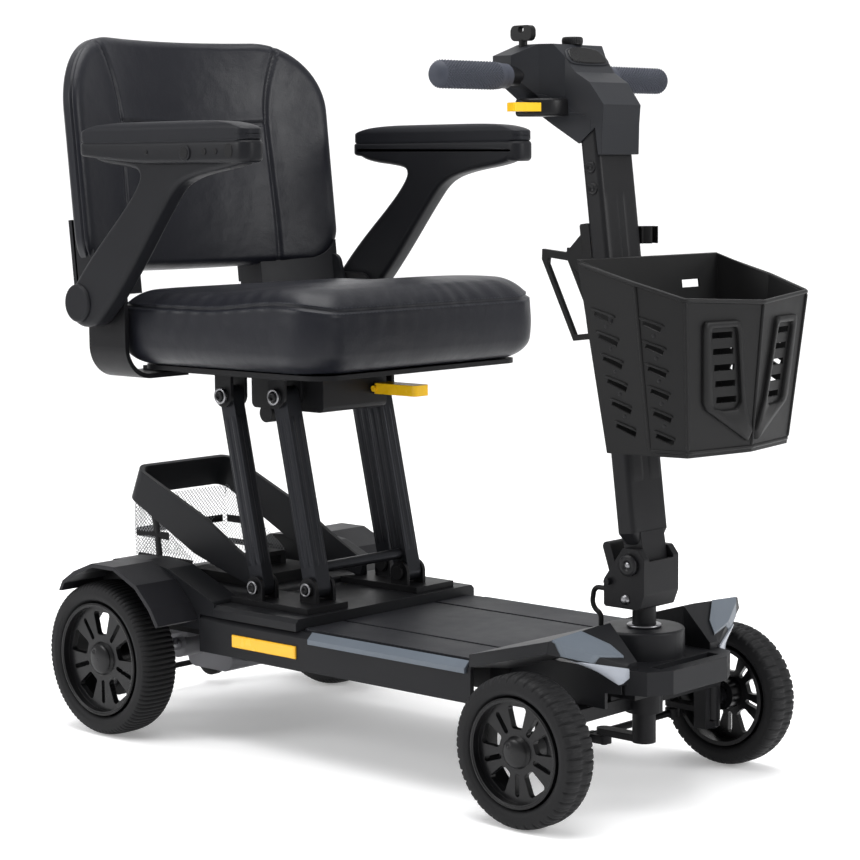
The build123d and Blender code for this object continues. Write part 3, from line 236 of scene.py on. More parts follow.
# --- Body mouldings ---
# The deck tray, rear cover, front shroud and fenders are injection-moulded ABS in graphite black,
# with a fine spark-eroded skin. The pieces snap and screw on to the steel frame.
graphite = surface("graphite_abs", (0.0084, 0.0087, 0.0102), 0.40, pits=0.16, scale=1100)
dress(graphite, "deck_shell", "rear_body_cover", "front_shroud")
dress(surface("fender_abs", (0.0128, 0.0128, 0.0152), 0.42, pits=0.18, scale=1000), "rear_fenders")
dress(surface("hoop_abs", (0.0091, 0.0095, 0.0112), 0.42, pits=0.18, scale=1000), "hoop_frame")
dress(surface("slate_abs", (0.1013, 0.1188, 0.1418), 0.33, pits=0.08, coat=0.2), "slate_inserts")
dress(surface("amber_reflector", (0.80, 0.42, 0.012), 0.22, pits=0.6, scale=420, coat=0.6), "side_reflectors")
dress(surface("clear_reflector", (0.30, 0.32, 0.36), 0.18, pits=1.0, scale=260, coat=0.5), "front_lenses")

# --- Deck mat ---
# Three glued panels of black rubber with a pressed pattern of fine slanting ribs.
# The ribs are a wave along a slanted line of the deck, sharpened, and bend only the normal.
mat_rubber = surface("deck_mat_rubber", (0.0161, 0.0167, 0.0201), 0.5, pits=0.2)
tree = mat_rubber.node_tree
spot, turn, ribs, press = (tree.nodes.new(kind) for kind in (
    "ShaderNodeTexCoord", "ShaderNodeMapping", "ShaderNodeTexWave", "ShaderNodeBump"))
values(turn, Rotation=(0, 0, math.radians(38)))
values(ribs, Scale=55.0)
values(press, Strength=0.5, Distance=0.0006)
wire(tree, (spot, "Object", turn, "Vector"), (turn, "Vector", ribs, "Vector"), (ribs, "Fac", press, "Height"),
     (tree.nodes["Bump"], "Normal", press, "Normal"), (press, "Normal", tree.nodes["Principled BSDF"], "Normal"))
dress(mat_rubber, "deck_mat")

# --- Wheels ---
# Solid rubber tyres on moulded nylon rims. The rear tyres have fine ribs across the tread, the front
# ones have blocks with cuts. The hub is closed by a domed cap with a notch for the puller.
rim_nylon = surface("rim_nylon", (0.0044, 0.0044, 0.0050), 0.28, pits=0.06, coat=0.15)
dress(rim_nylon, "rear_rim_right", "rear_rim_left", "front_rim_right", "front_rim_left")
tyre_rubber = surface("tyre_rubber", (0.0085, 0.0085, 0.0092), 0.55, pits=0.3, scale=600, edge=0.0)


def tyre_points(outer, inner, width, ribs, steps, cut):
    """Rings of a squared oval section; the tread's radius drops by the cut where the rib pattern is low."""
    turn = np.linspace(0, 2 * math.pi, ribs * steps, endpoint=False)[:, None]
    lap = np.linspace(0, 2 * math.pi, 64, endpoint=False)[None, :]
    squared = lambda wave: np.sign(wave) * np.abs(wave) ** (2 / 3.4)
    side, lift = squared(np.cos(lap)), squared(np.sin(lap))
    middle, half = (outer + inner) / 2, (outer - inner) / 2
    radius = middle + half * lift + 0 * turn
    lateral = width / 2 * side + 0 * turn
    tread = np.clip((lift - 0.35) / 0.25, 0, 1)
    phase = (turn * ribs / (2 * math.pi)) % 1.0
    radius = radius - tread * cut(phase, lateral / (width / 2))
    bead = np.exp(-((lift + 0.25) / 0.07) ** 2) * (np.abs(side) > 0.7)
    lateral = lateral + np.sign(side) * 0.0006 * bead
    return np.stack([radius * np.cos(turn), lateral, radius * np.sin(turn)], -1)


def rear_cut(phase, spread):
    """A narrow groove across the whole tread, once in each rib's pitch."""
    return 0.0022 * np.exp(-((phase - 0.5) / 0.17) ** 2)


def front_cut(phase, spread):
    """Blocks in two staggered rows with a centre groove, and one thin cut in each block."""
    shifted = (phase + 0.5 * (spread > 0)) % 1.0
    gap = np.exp(-((shifted - 0.5) / 0.10) ** 4)
    sipe = 0.4 * np.exp(-((shifted - 0.02) / 0.03) ** 2) + 0.4 * np.exp(-((shifted - 0.98) / 0.03) ** 2)
    centre = np.exp(-(spread / 0.07) ** 4)
    return 0.0024 * np.clip(gap + sipe + 0.8 * centre, 0, 1)


DOME = 0.0042
for end, ribs, steps, cut in (("rear", 92, 8, rear_cut), ("front", 40, 18, front_cut)):
    for side, out in (("right", -1), ("left", 1)):
        low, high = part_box(f"{end}_tyre_{side}")
        rim_low, rim_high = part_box(f"{end}_rim_{side}")
        hub, body = (low + high) / 2, f"{end}_wheel_{side}"
        rim_r = (rim_high.z - rim_low.z) / 2
        points = tyre_points((high.z - low.z) / 2, rim_r, high.y - low.y, ribs, steps, cut) + np.array(hub)
        tyre = make(f"{end}_tyre_tread_{side}", points, quads(ribs * steps, 64, True, True), tyre_rubber)
        fitted(tyre, body, f"tyre_{end}", f"{end}_tyre_{side}")
        # The cap is a dome: its height falls as a cosine of the radius; the notch dips at one place.
        face = rim_low.y if side == "right" else rim_high.y
        lap = np.linspace(0, 2 * math.pi, 64, endpoint=False)
        r, t = np.meshgrid(np.linspace(0.02, 1, 16), lap, indexing="ij")
        dome = DOME * np.cos(r * math.pi / 2) ** 0.55
        notch = 0.002 * np.exp(-((r - 0.62) / 0.10) ** 2 - ((t - 2.2) / 0.16) ** 2)
        cap_r = 0.27 * rim_r
        disc = np.stack([hub.x + cap_r * r * np.cos(t), face - out * DOME + out * (dome - notch),
                         hub.z + cap_r * r * np.sin(t)], -1)
        fan = np.stack([np.full(64, 16 * 64), np.arange(64), (np.arange(64) + 1) % 64], 1)
        faces = [*quads(16, 64, False, True), *fan]
        points = np.concatenate([disc.reshape(-1, 3), [[hub.x, face, hub.z]]])
        fitted(make(f"{end}_hub_cap_{side}", points, faces, rim_nylon), body, "rim_black")
        # A turned bead round the rim's mouth catches the light.
        t, s = np.meshgrid(np.linspace(0, 2 * math.pi, 128, endpoint=False),
                           np.linspace(0, 2 * math.pi, 10, endpoint=False), indexing="ij")
        ring_r = rim_r - 0.0022 + 0.0016 * np.cos(s)
        ring = np.stack([hub.x + ring_r * np.cos(t), face - out * 0.0006 + 0.0014 * np.sin(s),
                         hub.z + ring_r * np.sin(t)], -1)
        fitted(make(f"{end}_rim_bead_{side}", ring, quads(128, 10, True, True), rim_nylon), body, "rim_black")

# --- Seat carrier and legs ---
# Four extruded alloy legs with long grooves, dark anodised, swing on bright-ringed bolts.
# The release lever is moulded in yellow so that it is found easily.
leg_alloy = surface("anodised_leg", (0.0182, 0.0189, 0.0221), 0.33, pits=0.08, metallic=0.55)
dress(leg_alloy, "front_legs", "rear_legs")
dress(surface("ring_bolt_steel", (0.20, 0.20, 0.21), 0.3, metallic=0.9), "seat_pivot_bolts")
signal = surface("signal_yellow", (0.86, 0.50, 0.010), 0.28, pits=0.05, coat=0.3)
dress(signal, "release_lever", "forward_lever")
dress(surface("paddle_black", (0.0064, 0.0064, 0.0068), 0.3), "reverse_lever")

# --- Tiller ---
# The mast is a flat alloy tube; its head is two ABS shells closed along a sloping seam.
# The grips are rubber with a fine diamond knurl.
mast_coat = surface("mast_coat", (0.0086, 0.0086, 0.0097), 0.36, pits=0.1)
dress(mast_coat, "mast")
head_abs = surface("head_abs", (0.0160, 0.0170, 0.0200), 0.40, pits=0.15, scale=1100)
dress(head_abs, "tiller_head", "head_underside")
dress(surface("small_black_parts", (0.0056, 0.0056, 0.0060), 0.38, pits=0.2), "speed_dial", "accessory_clip",
      "bottle_cage", "ignition_key")
basket_pp = surface("basket_pp", (0.0076, 0.0076, 0.0079), 0.40, pits=0.12)
dress(basket_pp, "basket")

# --- Upholstery vinyl ---
# The seat and back are foam under sewn vinyl, navy black with a fine leather grain and soft creases.
# Creases are a slow noise, grain is a cell pattern; both bend the normal only.
vinyl = surface("seat_vinyl", (0.0069, 0.0074, 0.0110), 0.36, pits=0.25, scale=700, edge=0.0, gloss=0.24)
tree = vinyl.node_tree
spot, cells, creases, grain, wrinkle = (tree.nodes.new(kind) for kind in (
    "ShaderNodeTexCoord", "ShaderNodeTexVoronoi", "ShaderNodeTexNoise", "ShaderNodeBump", "ShaderNodeBump"))
values(cells, Scale=620.0)
values(creases, Scale=17.0, Detail=4.0)
values(grain, Strength=0.22, Distance=0.0003)
values(wrinkle, Strength=0.35, Distance=0.006)
wire(tree, (spot, "Object", cells, "Vector"), (spot, "Object", creases, "Vector"),
     (cells, "Distance", grain, "Height"), (creases, "Fac", wrinkle, "Height"),
     (tree.nodes["Bump"], "Normal", grain, "Normal"), (grain, "Normal", wrinkle, "Normal"),
     (wrinkle, "Normal", tree.nodes["Principled BSDF"], "Normal"))
thread = surface("sewing_thread", (0.035, 0.037, 0.045), 0.6, edge=0.0)
pivot = {joint["name"]: Vector(joint["pos_m"]) for joint in frame["joints"] if "pos_m" in joint}


def rounded_loop(half_a, half_b, radii, count):
    """Evenly spaced points round a rectangle whose corners are arcs; radii run anticlockwise from lower left."""
    quarter = np.linspace(0, math.pi / 2, 40)
    runs = []
    for (sa, sb), start, radius in zip(((-1, -1), (1, -1), (1, 1), (-1, 1)), (180, 270, 0, 90), radii):
        angle = math.radians(start) + quarter
        runs.append(np.stack([sa * (half_a - radius) + radius * np.cos(angle),
                              sb * (half_b - radius) + radius * np.sin(angle)], 1))
    loop = np.concatenate(runs + [runs[0][:1]])
    walk = np.concatenate([[0], np.cumsum(np.linalg.norm(np.diff(loop, axis=0), axis=1))])
    steps = np.linspace(0, walk[-1], count, endpoint=False)
    return np.stack([np.interp(steps, walk, loop[:, 0]), np.interp(steps, walk, loop[:, 1])], 1)


def pillow(half_a, half_b, thick, radii, edge_radius, count, rings):
    """A closed pad: the plan loop shrinks to a point below and above, along a profile with rounded edges.
    Returns plan a, plan b, height, and the share of the way out (1 at the side) for every point."""
    plan = rounded_loop(half_a, half_b, radii, count)
    reach = min(half_a, half_b)
    profile = rounded_loop(reach, thick / 2, (edge_radius,) * 4, rings * 4)
    profile = np.roll(profile, -np.argmin(np.abs(profile[:, 0]) + 10 * (profile[:, 1] > 0)), axis=0)
    profile = profile[(profile[:, 0] > 0.004)]
    out = profile[:, 0] / reach
    a = out[:, None] * plan[None, :, 0]
    b = out[:, None] * plan[None, :, 1]
    return a, b, np.repeat(profile[:, 1][:, None], count, 1), np.repeat(out[:, None], count, 1)


def closed_pad(name, points, material):
    """A pad's grid of points with a fan of faces at each pole."""
    rings, count = points.shape[:2]
    flat = points.reshape(-1, 3)
    poles = np.stack([points[0].mean(0), points[-1].mean(0)])
    ring = np.arange(count)
    low = np.stack([np.full(count, len(flat)), (ring + 1) % count, ring], 1)
    last = (rings - 1) * count
    high = np.stack([np.full(count, len(flat) + 1), last + ring, last + (ring + 1) % count], 1)
    faces = [*quads(rings, count, False, True), *low, *high]
    return make(name, np.concatenate([flat, poles]), faces, material)


def stitches(name, line, outward, gap, body, slot):
    """Threads laid end to end along a line of points: each is a short six-sided bead with tapered ends."""
    walk = np.concatenate([[0], np.cumsum(np.linalg.norm(np.diff(line, axis=0), axis=1))])
    middle = np.arange(gap, walk[-1] - gap, gap)
    pick = lambda field, where: np.stack([np.interp(where, walk, field[:, k]) for k in range(3)], 1)
    start, end, side = pick(line, middle - 0.36 * gap), pick(line, middle + 0.36 * gap), pick(outward, middle)
    run = (end - start) / np.linalg.norm(end - start, axis=1)[:, None]
    cross = np.cross(run, side)
    share, width = np.array([0, 0.15, 0.5, 0.85, 1.0]), np.array([0.1, 0.75, 1.0, 0.75, 0.1]) * 0.00045
    turn = np.linspace(0, 2 * math.pi, 6, endpoint=False)
    axis = start[:, None, None] + (end - start)[:, None, None] * share[None, :, None, None]
    spread = np.cos(turn)[:, None] * side[:, None, None] + np.sin(turn)[:, None] * cross[:, None, None]
    beads = axis + spread * width[None, :, None, None] + 0.0004 * side[:, None, None]
    faces = (quads(5, 6, False, True)[None] + 30 * np.arange(len(middle))[:, None, None]).reshape(-1, 4)
    piece = make(name, beads, faces, thread)
    return fitted(piece, body, slot)


# --- Seat cushion ---
# A thick foam pad on a board, its front a little higher than its rear. The side panel is sewn to the
# top panel by a double-stitched seam that runs round the pad below its top edge.
low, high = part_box("seat_cushion")
middle = (low + high) / 2
thick = high.z - low.z - 0.006
half_a, half_b = (high.x - low.x) / 2 - 0.001, (high.y - low.y) / 2 - 0.002
a, b, c, out = pillow(half_a, half_b, thick, (0.03, 0.05, 0.05, 0.03), 0.026, 300, 150)
share = c / thick + 0.5
upper = np.clip((share - 0.35) / 0.5, 0, 1)
front = np.clip((a + 0.02) / 0.14, 0, 1)
front = front * front * (3 - 2 * front)
crown = 0.008 * (1 - out ** 4) * upper
rise = upper * (0.010 * front - 0.006) - 0.008 * upper * np.clip((a - 0.13) / 0.05, 0, 1) ** 2
belly = 0.005 * np.sin(math.pi * np.clip(share, 0, 1)) * (out > 0.9)
way = np.arctan2(b, a)
pucker = 0.0010 * np.sin(17 * way + 1.3) * np.sin(29 * way) * (out > 0.8) * upper
seam_at = 1 - 0.017 / thick
seam = np.exp(-((share - seam_at) * thick / 0.0016) ** 2) * (out > 0.93)
puff = 0.0012 * np.exp(-((share - seam_at) * thick / 0.009) ** 2) * (out > 0.93)
grow = 1 + (belly + pucker + puff - 0.0030 * seam) / 0.19
pad = np.stack([middle.x + a * grow, middle.y + b * grow, middle.z - 0.003 + c + crown + rise], -1)
seat_pad = closed_pad("seat_pad", pad, vinyl)
fitted(seat_pad, "seat", "seat_vinyl", "seat_cushion")
side_rows = np.where(out[:, 0] > 0.93)[0]
for label, offset in (("upper", 0.0035), ("lower", -0.0035)):
    row = side_rows[np.argmin(np.abs(c[side_rows, 0] - ((seam_at - 0.5) * thick + offset)))]
    line = np.concatenate([pad[row], pad[row][:1]])
    away = np.stack([a[row], b[row], 0 * a[row]], 1)
    away = np.concatenate([away, away[:1]])
    away /= np.linalg.norm(away, axis=1)[:, None]
    stitches(f"seat_stitches_{label}", line, away, 0.0062, "seat", "seat_vinyl")

# --- Back cushion ---
# A thinner pad with wide rounded shoulders, curved to the shell behind it. Two curved upright seams
# and one level seam divide its face; each is a sewn groove with the foam puffed on both sides.
hinge = pivot["back_fold"]
half_w, tall, deep = 0.230, 0.312, 0.046
shoulders = (0.045, 0.045, 0.100, 0.100)
a, b, c, out = pillow(half_w - 0.001, tall / 2 - 0.001, deep - 0.006, shoulders, 0.012, 340, 110)
facing = np.clip(c / deep + 0.5, 0, 1)
side_seam = 0.132 + 0.036 * np.clip((b - 0.03) / 0.12, 0, 1) ** 2 - 0.006 * (b / (tall / 2))
gap_side = np.abs(a) - side_seam
gap_level = b - 0.040 - 0.06 * a ** 2
inside = np.clip((side_seam - np.abs(a)) / 0.004, 0, 1)
groove = np.exp(-(gap_side / 0.0024) ** 2) + np.exp(-(gap_level / 0.0024) ** 2) * inside
swell = np.exp(-(gap_side / 0.014) ** 2) + np.exp(-(gap_level / 0.014) ** 2) * inside
relief = facing ** 2 * (0.007 * (1 - out ** 3) + 0.0014 * swell - 0.0042 * np.clip(groove, 0, 1))
edge_seam = np.exp(-((c - 0.006) / 0.0016) ** 2) * (out > 0.93)
grow = 1 - 0.0026 * edge_seam / 0.15
lean = math.radians(6.0)
swept = -0.052 + 0.058 * (a / half_w) ** 2 - deep / 2 + (c + 0.001) * (1 - 0.12 * (a / half_w) ** 2) + relief
lift = 0.040 + tall / 2 + b * grow
back = np.stack([hinge.x + swept * math.cos(lean) - lift * math.sin(lean), a * grow,
                 hinge.z + swept * math.sin(lean) + lift * math.cos(lean)], -1)
back_pad = closed_pad("back_pad", back, vinyl)
fitted(back_pad, "backrest", "seat_vinyl", "back_cushion")

# --- Armrests ---
# Each arm is a hollow ABS moulding: a round boss on the pivot, a leaning arm, and the rail under a
# soft pad. The mouldings have full rounded edges, a pivot cap, and screw wells along the rail.
arm_abs = surface("arm_abs", (0.0083, 0.0086, 0.0104), 0.40, pits=0.16, scale=1000)


def eased(outline, rounds=3, cut=0.25):
    """A closed outline with its corners cut again and again, at a share of each side from both its ends."""
    outline = np.asarray(outline, float)
    for _ in range(rounds):
        onward = np.roll(outline, -1, axis=0)
        pairs = [(1 - cut) * outline + cut * onward, cut * outline + (1 - cut) * onward]
        outline = np.stack(pairs, 1).reshape(-1, 2)
    return outline


def rounded_plate(name, outline, near, far, radius, material, place):
    """A plate between two depths with quarter-round edges; place turns (a, b, depth) arrays into points."""
    onward, before = np.roll(outline, -1, axis=0), np.roll(outline, 1, axis=0)
    run = onward - before
    inward = np.stack([-run[:, 1], run[:, 0]], 1) / np.linalg.norm(run, axis=1)[:, None]
    area = np.sum(outline[:, 0] * onward[:, 1] - onward[:, 0] * outline[:, 1])
    inward *= math.copysign(1, area)
    bend = np.linspace(0, math.pi / 2, 6)
    inset = radius * np.concatenate([1 - np.sin(bend), 1 - np.sin(bend[::-1])])
    depth = np.concatenate([near + radius * (1 - np.cos(bend)), far - radius * (1 - np.cos(bend[::-1]))])
    ring = outline[None] + inset[:, None, None] * inward[None]
    points = place(ring[..., 0], ring[..., 1], np.repeat(depth[:, None], len(outline), 1))
    count, rings = len(outline), len(depth)
    faces = [*quads(rings, count, False, True)]
    faces += [list(range(count))[::-1], list(range((rings - 1) * count, rings * count))]
    piece = make(name, points, faces, material)
    mesh = piece.data
    shape = bmesh.new()
    shape.from_mesh(mesh)
    bmesh.ops.recalc_face_normals(shape, faces=shape.faces)
    shape.to_mesh(mesh)
    shape.free()
    caps = np.zeros(len(mesh.polygons), bool)
    caps[-2:] = True
    mesh.polygons.foreach_set("use_smooth", ~caps)
    return piece


arm_side = np.array([
    (-25, 6), (-22, -16), (-4, -30), (18, -31), (38, -24), (92, 31), (168, 126), (192, 150), (228, 162), (300, 172),
    (316, 180), (321, 203), (28, 203), (22, 192), (44, 178), (112, 171), (124, 164), (118, 150), (95, 124), (30, 66),
    (-8, 26)]) / 1000
for side, facing in (("right", -1), ("left", 1)):
    hub = pivot[f"arm_flip_{side}"]
    low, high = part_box(f"arm_{side}")
    inner, outer = sorted((abs(low.y), abs(high.y)))
    body = f"armrest_{side}"
    on_arm = lambda a, b, d, hub=hub, facing=facing: np.stack([hub.x + a, facing * d, hub.z + b], -1)
    arm = rounded_plate(f"arm_moulding_{side}", eased(arm_side), inner, outer - 0.004, 0.007, arm_abs, on_arm)
    fitted(arm, body, "arm_plastic", f"arm_{side}")
    turn = np.linspace(0, 2 * math.pi, 64, endpoint=False)
    circle = np.stack([np.cos(turn), np.sin(turn)], 1)
    boss = rounded_plate(f"arm_boss_{side}", 0.0245 * circle, inner + 0.002, outer, 0.0035, arm_abs, on_arm)
    fitted(boss, body, "arm_plastic")
    # The tray under the pad: a long shell with rounded ends whose floor rises toward its rear tip.
    low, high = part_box(f"arm_pad_{side}")
    middle = (low + high) / 2
    half_a, half_b = (high.x - low.x) / 2 + 0.0015, (high.y - low.y) / 2 + 0.0008

    def on_tray(a, b, d, middle=middle, low=low, half_a=half_a):
        """Depth runs up from the tray's floor; the floor rises by 11 mm over the rear third."""
        share = np.clip((d - low.z + 0.020) / 0.028, 0, 1)
        rise = 0.011 * np.clip((-a / half_a - 0.1) / 0.9, 0, 1) ** 1.5
        return np.stack([middle.x + a, middle.y + b, d + rise * (1 - share)], -1)

    tray = rounded_plate(f"arm_tray_{side}", rounded_loop(half_a, half_b, (0.015,) * 4, 200), low.z - 0.020,
                         low.z + 0.008, 0.006, arm_abs, on_tray)
    fitted(tray, body, "arm_plastic")
    # A round cap, two small ports and a square socket face outward near the front of the tray.
    face_y = abs(middle.y) + half_b
    ports = ((0.222, 0.1885, 0.0096, 0.0020), (0.222, 0.1885, 0.0066, 0.0028), (0.256, 0.190, 0.0042, 0.0012),
             (0.276, 0.190, 0.0036, 0.0012), (0.150, 0.190, 0.0030, 0.0012))
    for number, (along_rail, up_rail, size, proud) in enumerate(ports):
        port = rounded_plate(f"arm_port_{side}_{number}", size * circle + (along_rail, up_rail), face_y - 0.006,
                             face_y + proud, 0.0009, tyre_rubber if number else arm_abs, on_arm)
        fitted(port, body, "arm_plastic")
    socket = eased([(0.292, 0.182), (0.306, 0.182), (0.306, 0.199), (0.292, 0.199)], 2)
    socket = rounded_plate(f"arm_socket_{side}", socket, face_y - 0.006, face_y + 0.0008, 0.0009, tyre_rubber,
                           on_arm)
    fitted(socket, body, "arm_plastic")
    # The pad: a narrow cushion, higher in the middle, with its ends rolled down.
    half_a, half_b = (high.x - low.x) / 2, (high.y - low.y) / 2
    a, b, c, out = pillow(half_a, half_b, high.z - low.z, (0.014,) * 4, 0.0095, 260, 60)
    c = c + (c > 0) * (0.0015 * (1 - out ** 2) - 0.006 * np.clip(np.abs(a) / half_a - 0.8, 0, 1))
    skin_look = surface(f"pad_skin_{side}", (0.0085, 0.009, 0.0115), 0.45, pits=0.3, scale=700, edge=0.0)
    pad = closed_pad(f"arm_cushion_{side}", np.stack([middle.x + a, middle.y + b, middle.z + c], -1), skin_look)
    fitted(pad, body, "pad_rubber", f"arm_pad_{side}")

# --- Seat back shell ---
# A thin moulded shell closes the back of the pad and runs down as two wide posts to the hinges.
dress(surface("back_shell_abs", (0.0084, 0.0087, 0.0105), 0.42), "back_frame")

# --- Leg bolts ---
# Each pivot is a flanged bolt: a bright turned washer shows round a black socket head.
ring_steel = surface("washer_steel", (0.22, 0.22, 0.23), 0.28, metallic=1.0, pits=0.05, edge=0.0)
socket_black = surface("socket_black", (0.010, 0.010, 0.011), 0.3, pits=0.1, edge=0.0)


def lathe(name, profile, centre, axis, material, body, slot, count=48, size=1.0):
    """A profile of (radius, height) in millimetres, swept round an axis through a centre."""
    profile = np.asarray(profile, float) * 0.001 * size
    axis = np.asarray(axis, float) / np.linalg.norm(axis)
    first = np.cross(axis, (0.0, 0.0, 1.0) if abs(axis[2]) < 0.9 else (1.0, 0.0, 0.0))
    first /= np.linalg.norm(first)
    turn = np.linspace(0, 2 * math.pi, count, endpoint=False)
    spoke = np.cos(turn)[:, None] * first + np.sin(turn)[:, None] * np.cross(axis, first)
    points = np.asarray(centre, float) + profile[:, :1, None] * spoke[None] + profile[:, 1:, None] * axis
    fitted(make(name, points, quads(len(profile), count, False, True), material), body, slot)


WASHER = [(0.1, 0), (10.5, 0), (11.2, 0.5), (11.2, 1.6), (10.4, 2.2), (7.6, 2.2), (7.2, 1.4), (0.1, 1.4)]
HEAD = [(0.1, 1.2), (7.3, 1.2), (7.3, 3.2), (6.3, 4.3), (3.8, 4.6), (3.3, 4.2), (3.2, 2.0), (0.1, 1.8)]
FRONT_EDGE = 0.1056
seat_edge, foot_edge = (max(abs(corner.y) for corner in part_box(node))
                        for node in ("seat_pivot_bolts", "leg_pivot_bolts"))
for label, y_sign in (("right", -1), ("left", 1)):
    for name, place, edge_y, body, size in (
            ("seat_rear", pivot["seat_level"] - Vector((0.066, 0, 0)), seat_edge, "seat", 0.95),
            ("seat_front", pivot["seat_level"], FRONT_EDGE, "seat", 0.95),
            ("foot_rear", pivot["rear_leg_swing"], foot_edge, "chassis", 0.8),
            ("foot_front", pivot["seat_fold"], FRONT_EDGE, "chassis", 0.8)):
        for part, profile, look_of in (("washer", WASHER, ring_steel), ("head", HEAD, socket_black)):
            lathe(f"{name}_bolt_{label}_{part}", profile, (place.x, y_sign * edge_y, place.z), (0, y_sign, 0),
                  look_of, body, "ring_bolt", size=size)

# --- Extruded leg ribs ---
# The legs are extrusions: two rounded ribs and the groove between them run the length of each face.
LEG_LEAN, RIB_WIDTH, RIB_HEIGHT = math.radians(12.4), 0.0042, 0.0011
lean_vector = np.array([-math.sin(LEG_LEAN), 0, math.cos(LEG_LEAN)])
ahead_vector = np.array([lean_vector[2], 0, -lean_vector[0]])


def rib(name, start, end, across, out, body):
    """A long half-round rib: the section's height is a squared sine, tapering to nothing at its ends."""
    t, s = np.meshgrid(np.linspace(0, 1, 40), np.linspace(-1, 1, 9), indexing="ij")
    height = (1 - s ** 4) * np.clip(np.minimum(t, 1 - t) / 0.02, 0, 1) ** 0.5
    start, across, out = (np.asarray(way, float) for way in (start, across, out))
    points = (start + t[..., None] * (end - start) + RIB_WIDTH * s[..., None] * across
              + (RIB_HEIGHT * height - 0.0004)[..., None] * out)
    fitted(make(name, points, quads(40, 9), leg_alloy), body, "leg_alloy")


for label, y_sign in (("right", -1), ("left", 1)):
    for which, joint, half_y, mid_y in (("front", "seat_fold", 0.012, 0.084),
                                        ("rear", "rear_leg_swing", 0.009, 0.118)):
        body = f"{which}_leg_pair"
        foot = np.array(pivot[joint]) + np.array([0, y_sign * mid_y, 0])
        start, end = foot + 0.026 * lean_vector, foot + 0.223 * lean_vector
        for number, shift in enumerate((-0.0062, 0.0062)):
            for face, y_out in (("out", y_sign), ("in", -y_sign)):
                offset = shift * ahead_vector + np.array([0, y_out * half_y, 0])
                rib(f"{which}_leg_rib_{label}_{face}_{number}", start + offset, end + offset, ahead_vector,
                    (0, y_out, 0), body)
            offset = 0.0125 * ahead_vector + np.array([0, (number - 0.5) * half_y, 0])
            rib(f"{which}_leg_rib_{label}_face_{number}", start + offset, end + offset, (0, 0.9, 0),
                ahead_vector, body)

# --- Net bag ---
# A pale polyester net hangs inside the storage hoop, cut in two pieces: the walls and the floor.
# Black webbing is sewn over it. The net's pattern is two sets of slanting lines in the cloth's own UV.
net = bpy.data.materials.new("storage_net")
net.use_nodes = True
tree = net.node_tree
shader = tree.nodes["Principled BSDF"]
values(shader, Base_Color=(0.22, 0.225, 0.235, 1), Roughness=0.75)
cloth_uv, split, either = (tree.nodes.new(f"ShaderNode{kind}") for kind in ("TexCoord", "SeparateXYZ", "Math"))
lines = []
for operation in ("ADD", "SUBTRACT"):
    slant, part, thin = (tree.nodes.new("ShaderNodeMath") for _ in range(3))
    slant.operation, part.operation, thin.operation = operation, "FRACT", "LESS_THAN"
    thin.inputs[1].default_value = 0.2
    wire(tree, (split, "X", slant, 0), (split, "Y", slant, 1), (slant, 0, part, 0), (part, 0, thin, 0))
    lines.append(thin)
either.operation = "MAXIMUM"
wire(tree, (cloth_uv, "UV", split, 0), (lines[0], 0, either, 0), (lines[1], 0, either, 1),
     (either, 0, shader, "Alpha"))
NET_CELL = 0.0055
low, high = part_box("mesh_bag")
mid_x, floor_z = (low.x + high.x) / 2, low.z
run_x, half_y = high.x - low.x, (high.y - low.y) / 2


def hung(piece, slot, *replaced):
    """The piece hangs from the hoop and stands on the deck, but it rides on no body: its placement is baked into its
    mesh, and it stands for the named nodes.
    """
    if replaced:
        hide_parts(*replaced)
    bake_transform(piece)
    return piece


def net_cloth(name, points, u_metres, v_metres, replaced=()):
    """A grid of cloth whose UV is its own size divided by the net's 5.5 mm cell."""
    rows, columns = points.shape[:2]
    piece = make(name, points, quads(rows, columns), net)
    layer = piece.data.uv_layers.new(name="cloth")
    corner = np.empty(len(piece.data.loops), int)
    piece.data.loops.foreach_get("vertex_index", corner)
    uv = np.stack([u_metres.ravel()[corner], v_metres.ravel()[corner]], 1) / NET_CELL
    layer.data.foreach_set("uv", uv.ravel())
    first = points[:-1, :-1]
    cells = np.linalg.norm(np.cross(points[1:, :-1] - first, points[:-1, 1:] - first), axis=-1)
    if replaced:
        hung(piece, "net_fabric", *replaced)
    else:
        fitted(piece, "chassis", "net_fabric")
    return float(cells.sum())


length = 2 * run_x + 2 * half_y
walk = np.linspace(0, 1, 220) * length
past_rear = walk - run_x - 2 * half_y
path_x = np.where(walk < run_x, high.x - walk, np.where(past_rear > 0, low.x + past_rear, low.x))
path_y = np.clip(walk - run_x - half_y, -half_y, half_y)
share = (high.x - path_x) / run_x
v = np.linspace(0, 1, 24)
tall = 0.004 + (high.z - low.z - 0.010) * np.clip(share / 0.93, 0, 1)
bow = 0.004 * np.sin(math.pi * v)[None, :] * np.clip(tall / 0.06, 0, 1)[:, None]
rear_wall = ((walk > run_x) & (walk < run_x + 2 * half_y))[:, None]
points = np.stack([
    path_x[:, None] + (0.008 * v[None, :] - bow) * rear_wall,
    np.repeat(path_y[:, None], 24, 1) + np.sign(path_y)[:, None] * bow * ~rear_wall * 0.5,
    floor_z + 0.001 + tall[:, None] * v[None, :]], -1)
u_m, v_m = np.repeat(walk[:, None], 24, 1), tall[:, None] * v[None, :]
wall_area = net_cloth("net_walls", points, u_m, v_m, ("mesh_bag",))
gx, gy = np.meshgrid(np.linspace(low.x + 0.001, high.x - 0.008, 40),
                     np.linspace(-half_y + 0.001, half_y - 0.001, 50), indexing="ij")
sag = 0.003 * np.sin(math.pi * (gx - low.x) / run_x) * np.cos(math.pi * gy / (2 * half_y))
floor_area = net_cloth("net_floor", np.stack([gx, gy, floor_z + 0.002 - sag], -1), gx, gy)
webbing = surface("black_webbing", (0.010, 0.010, 0.011), 0.7, pits=0.8, scale=900, edge=0.0)


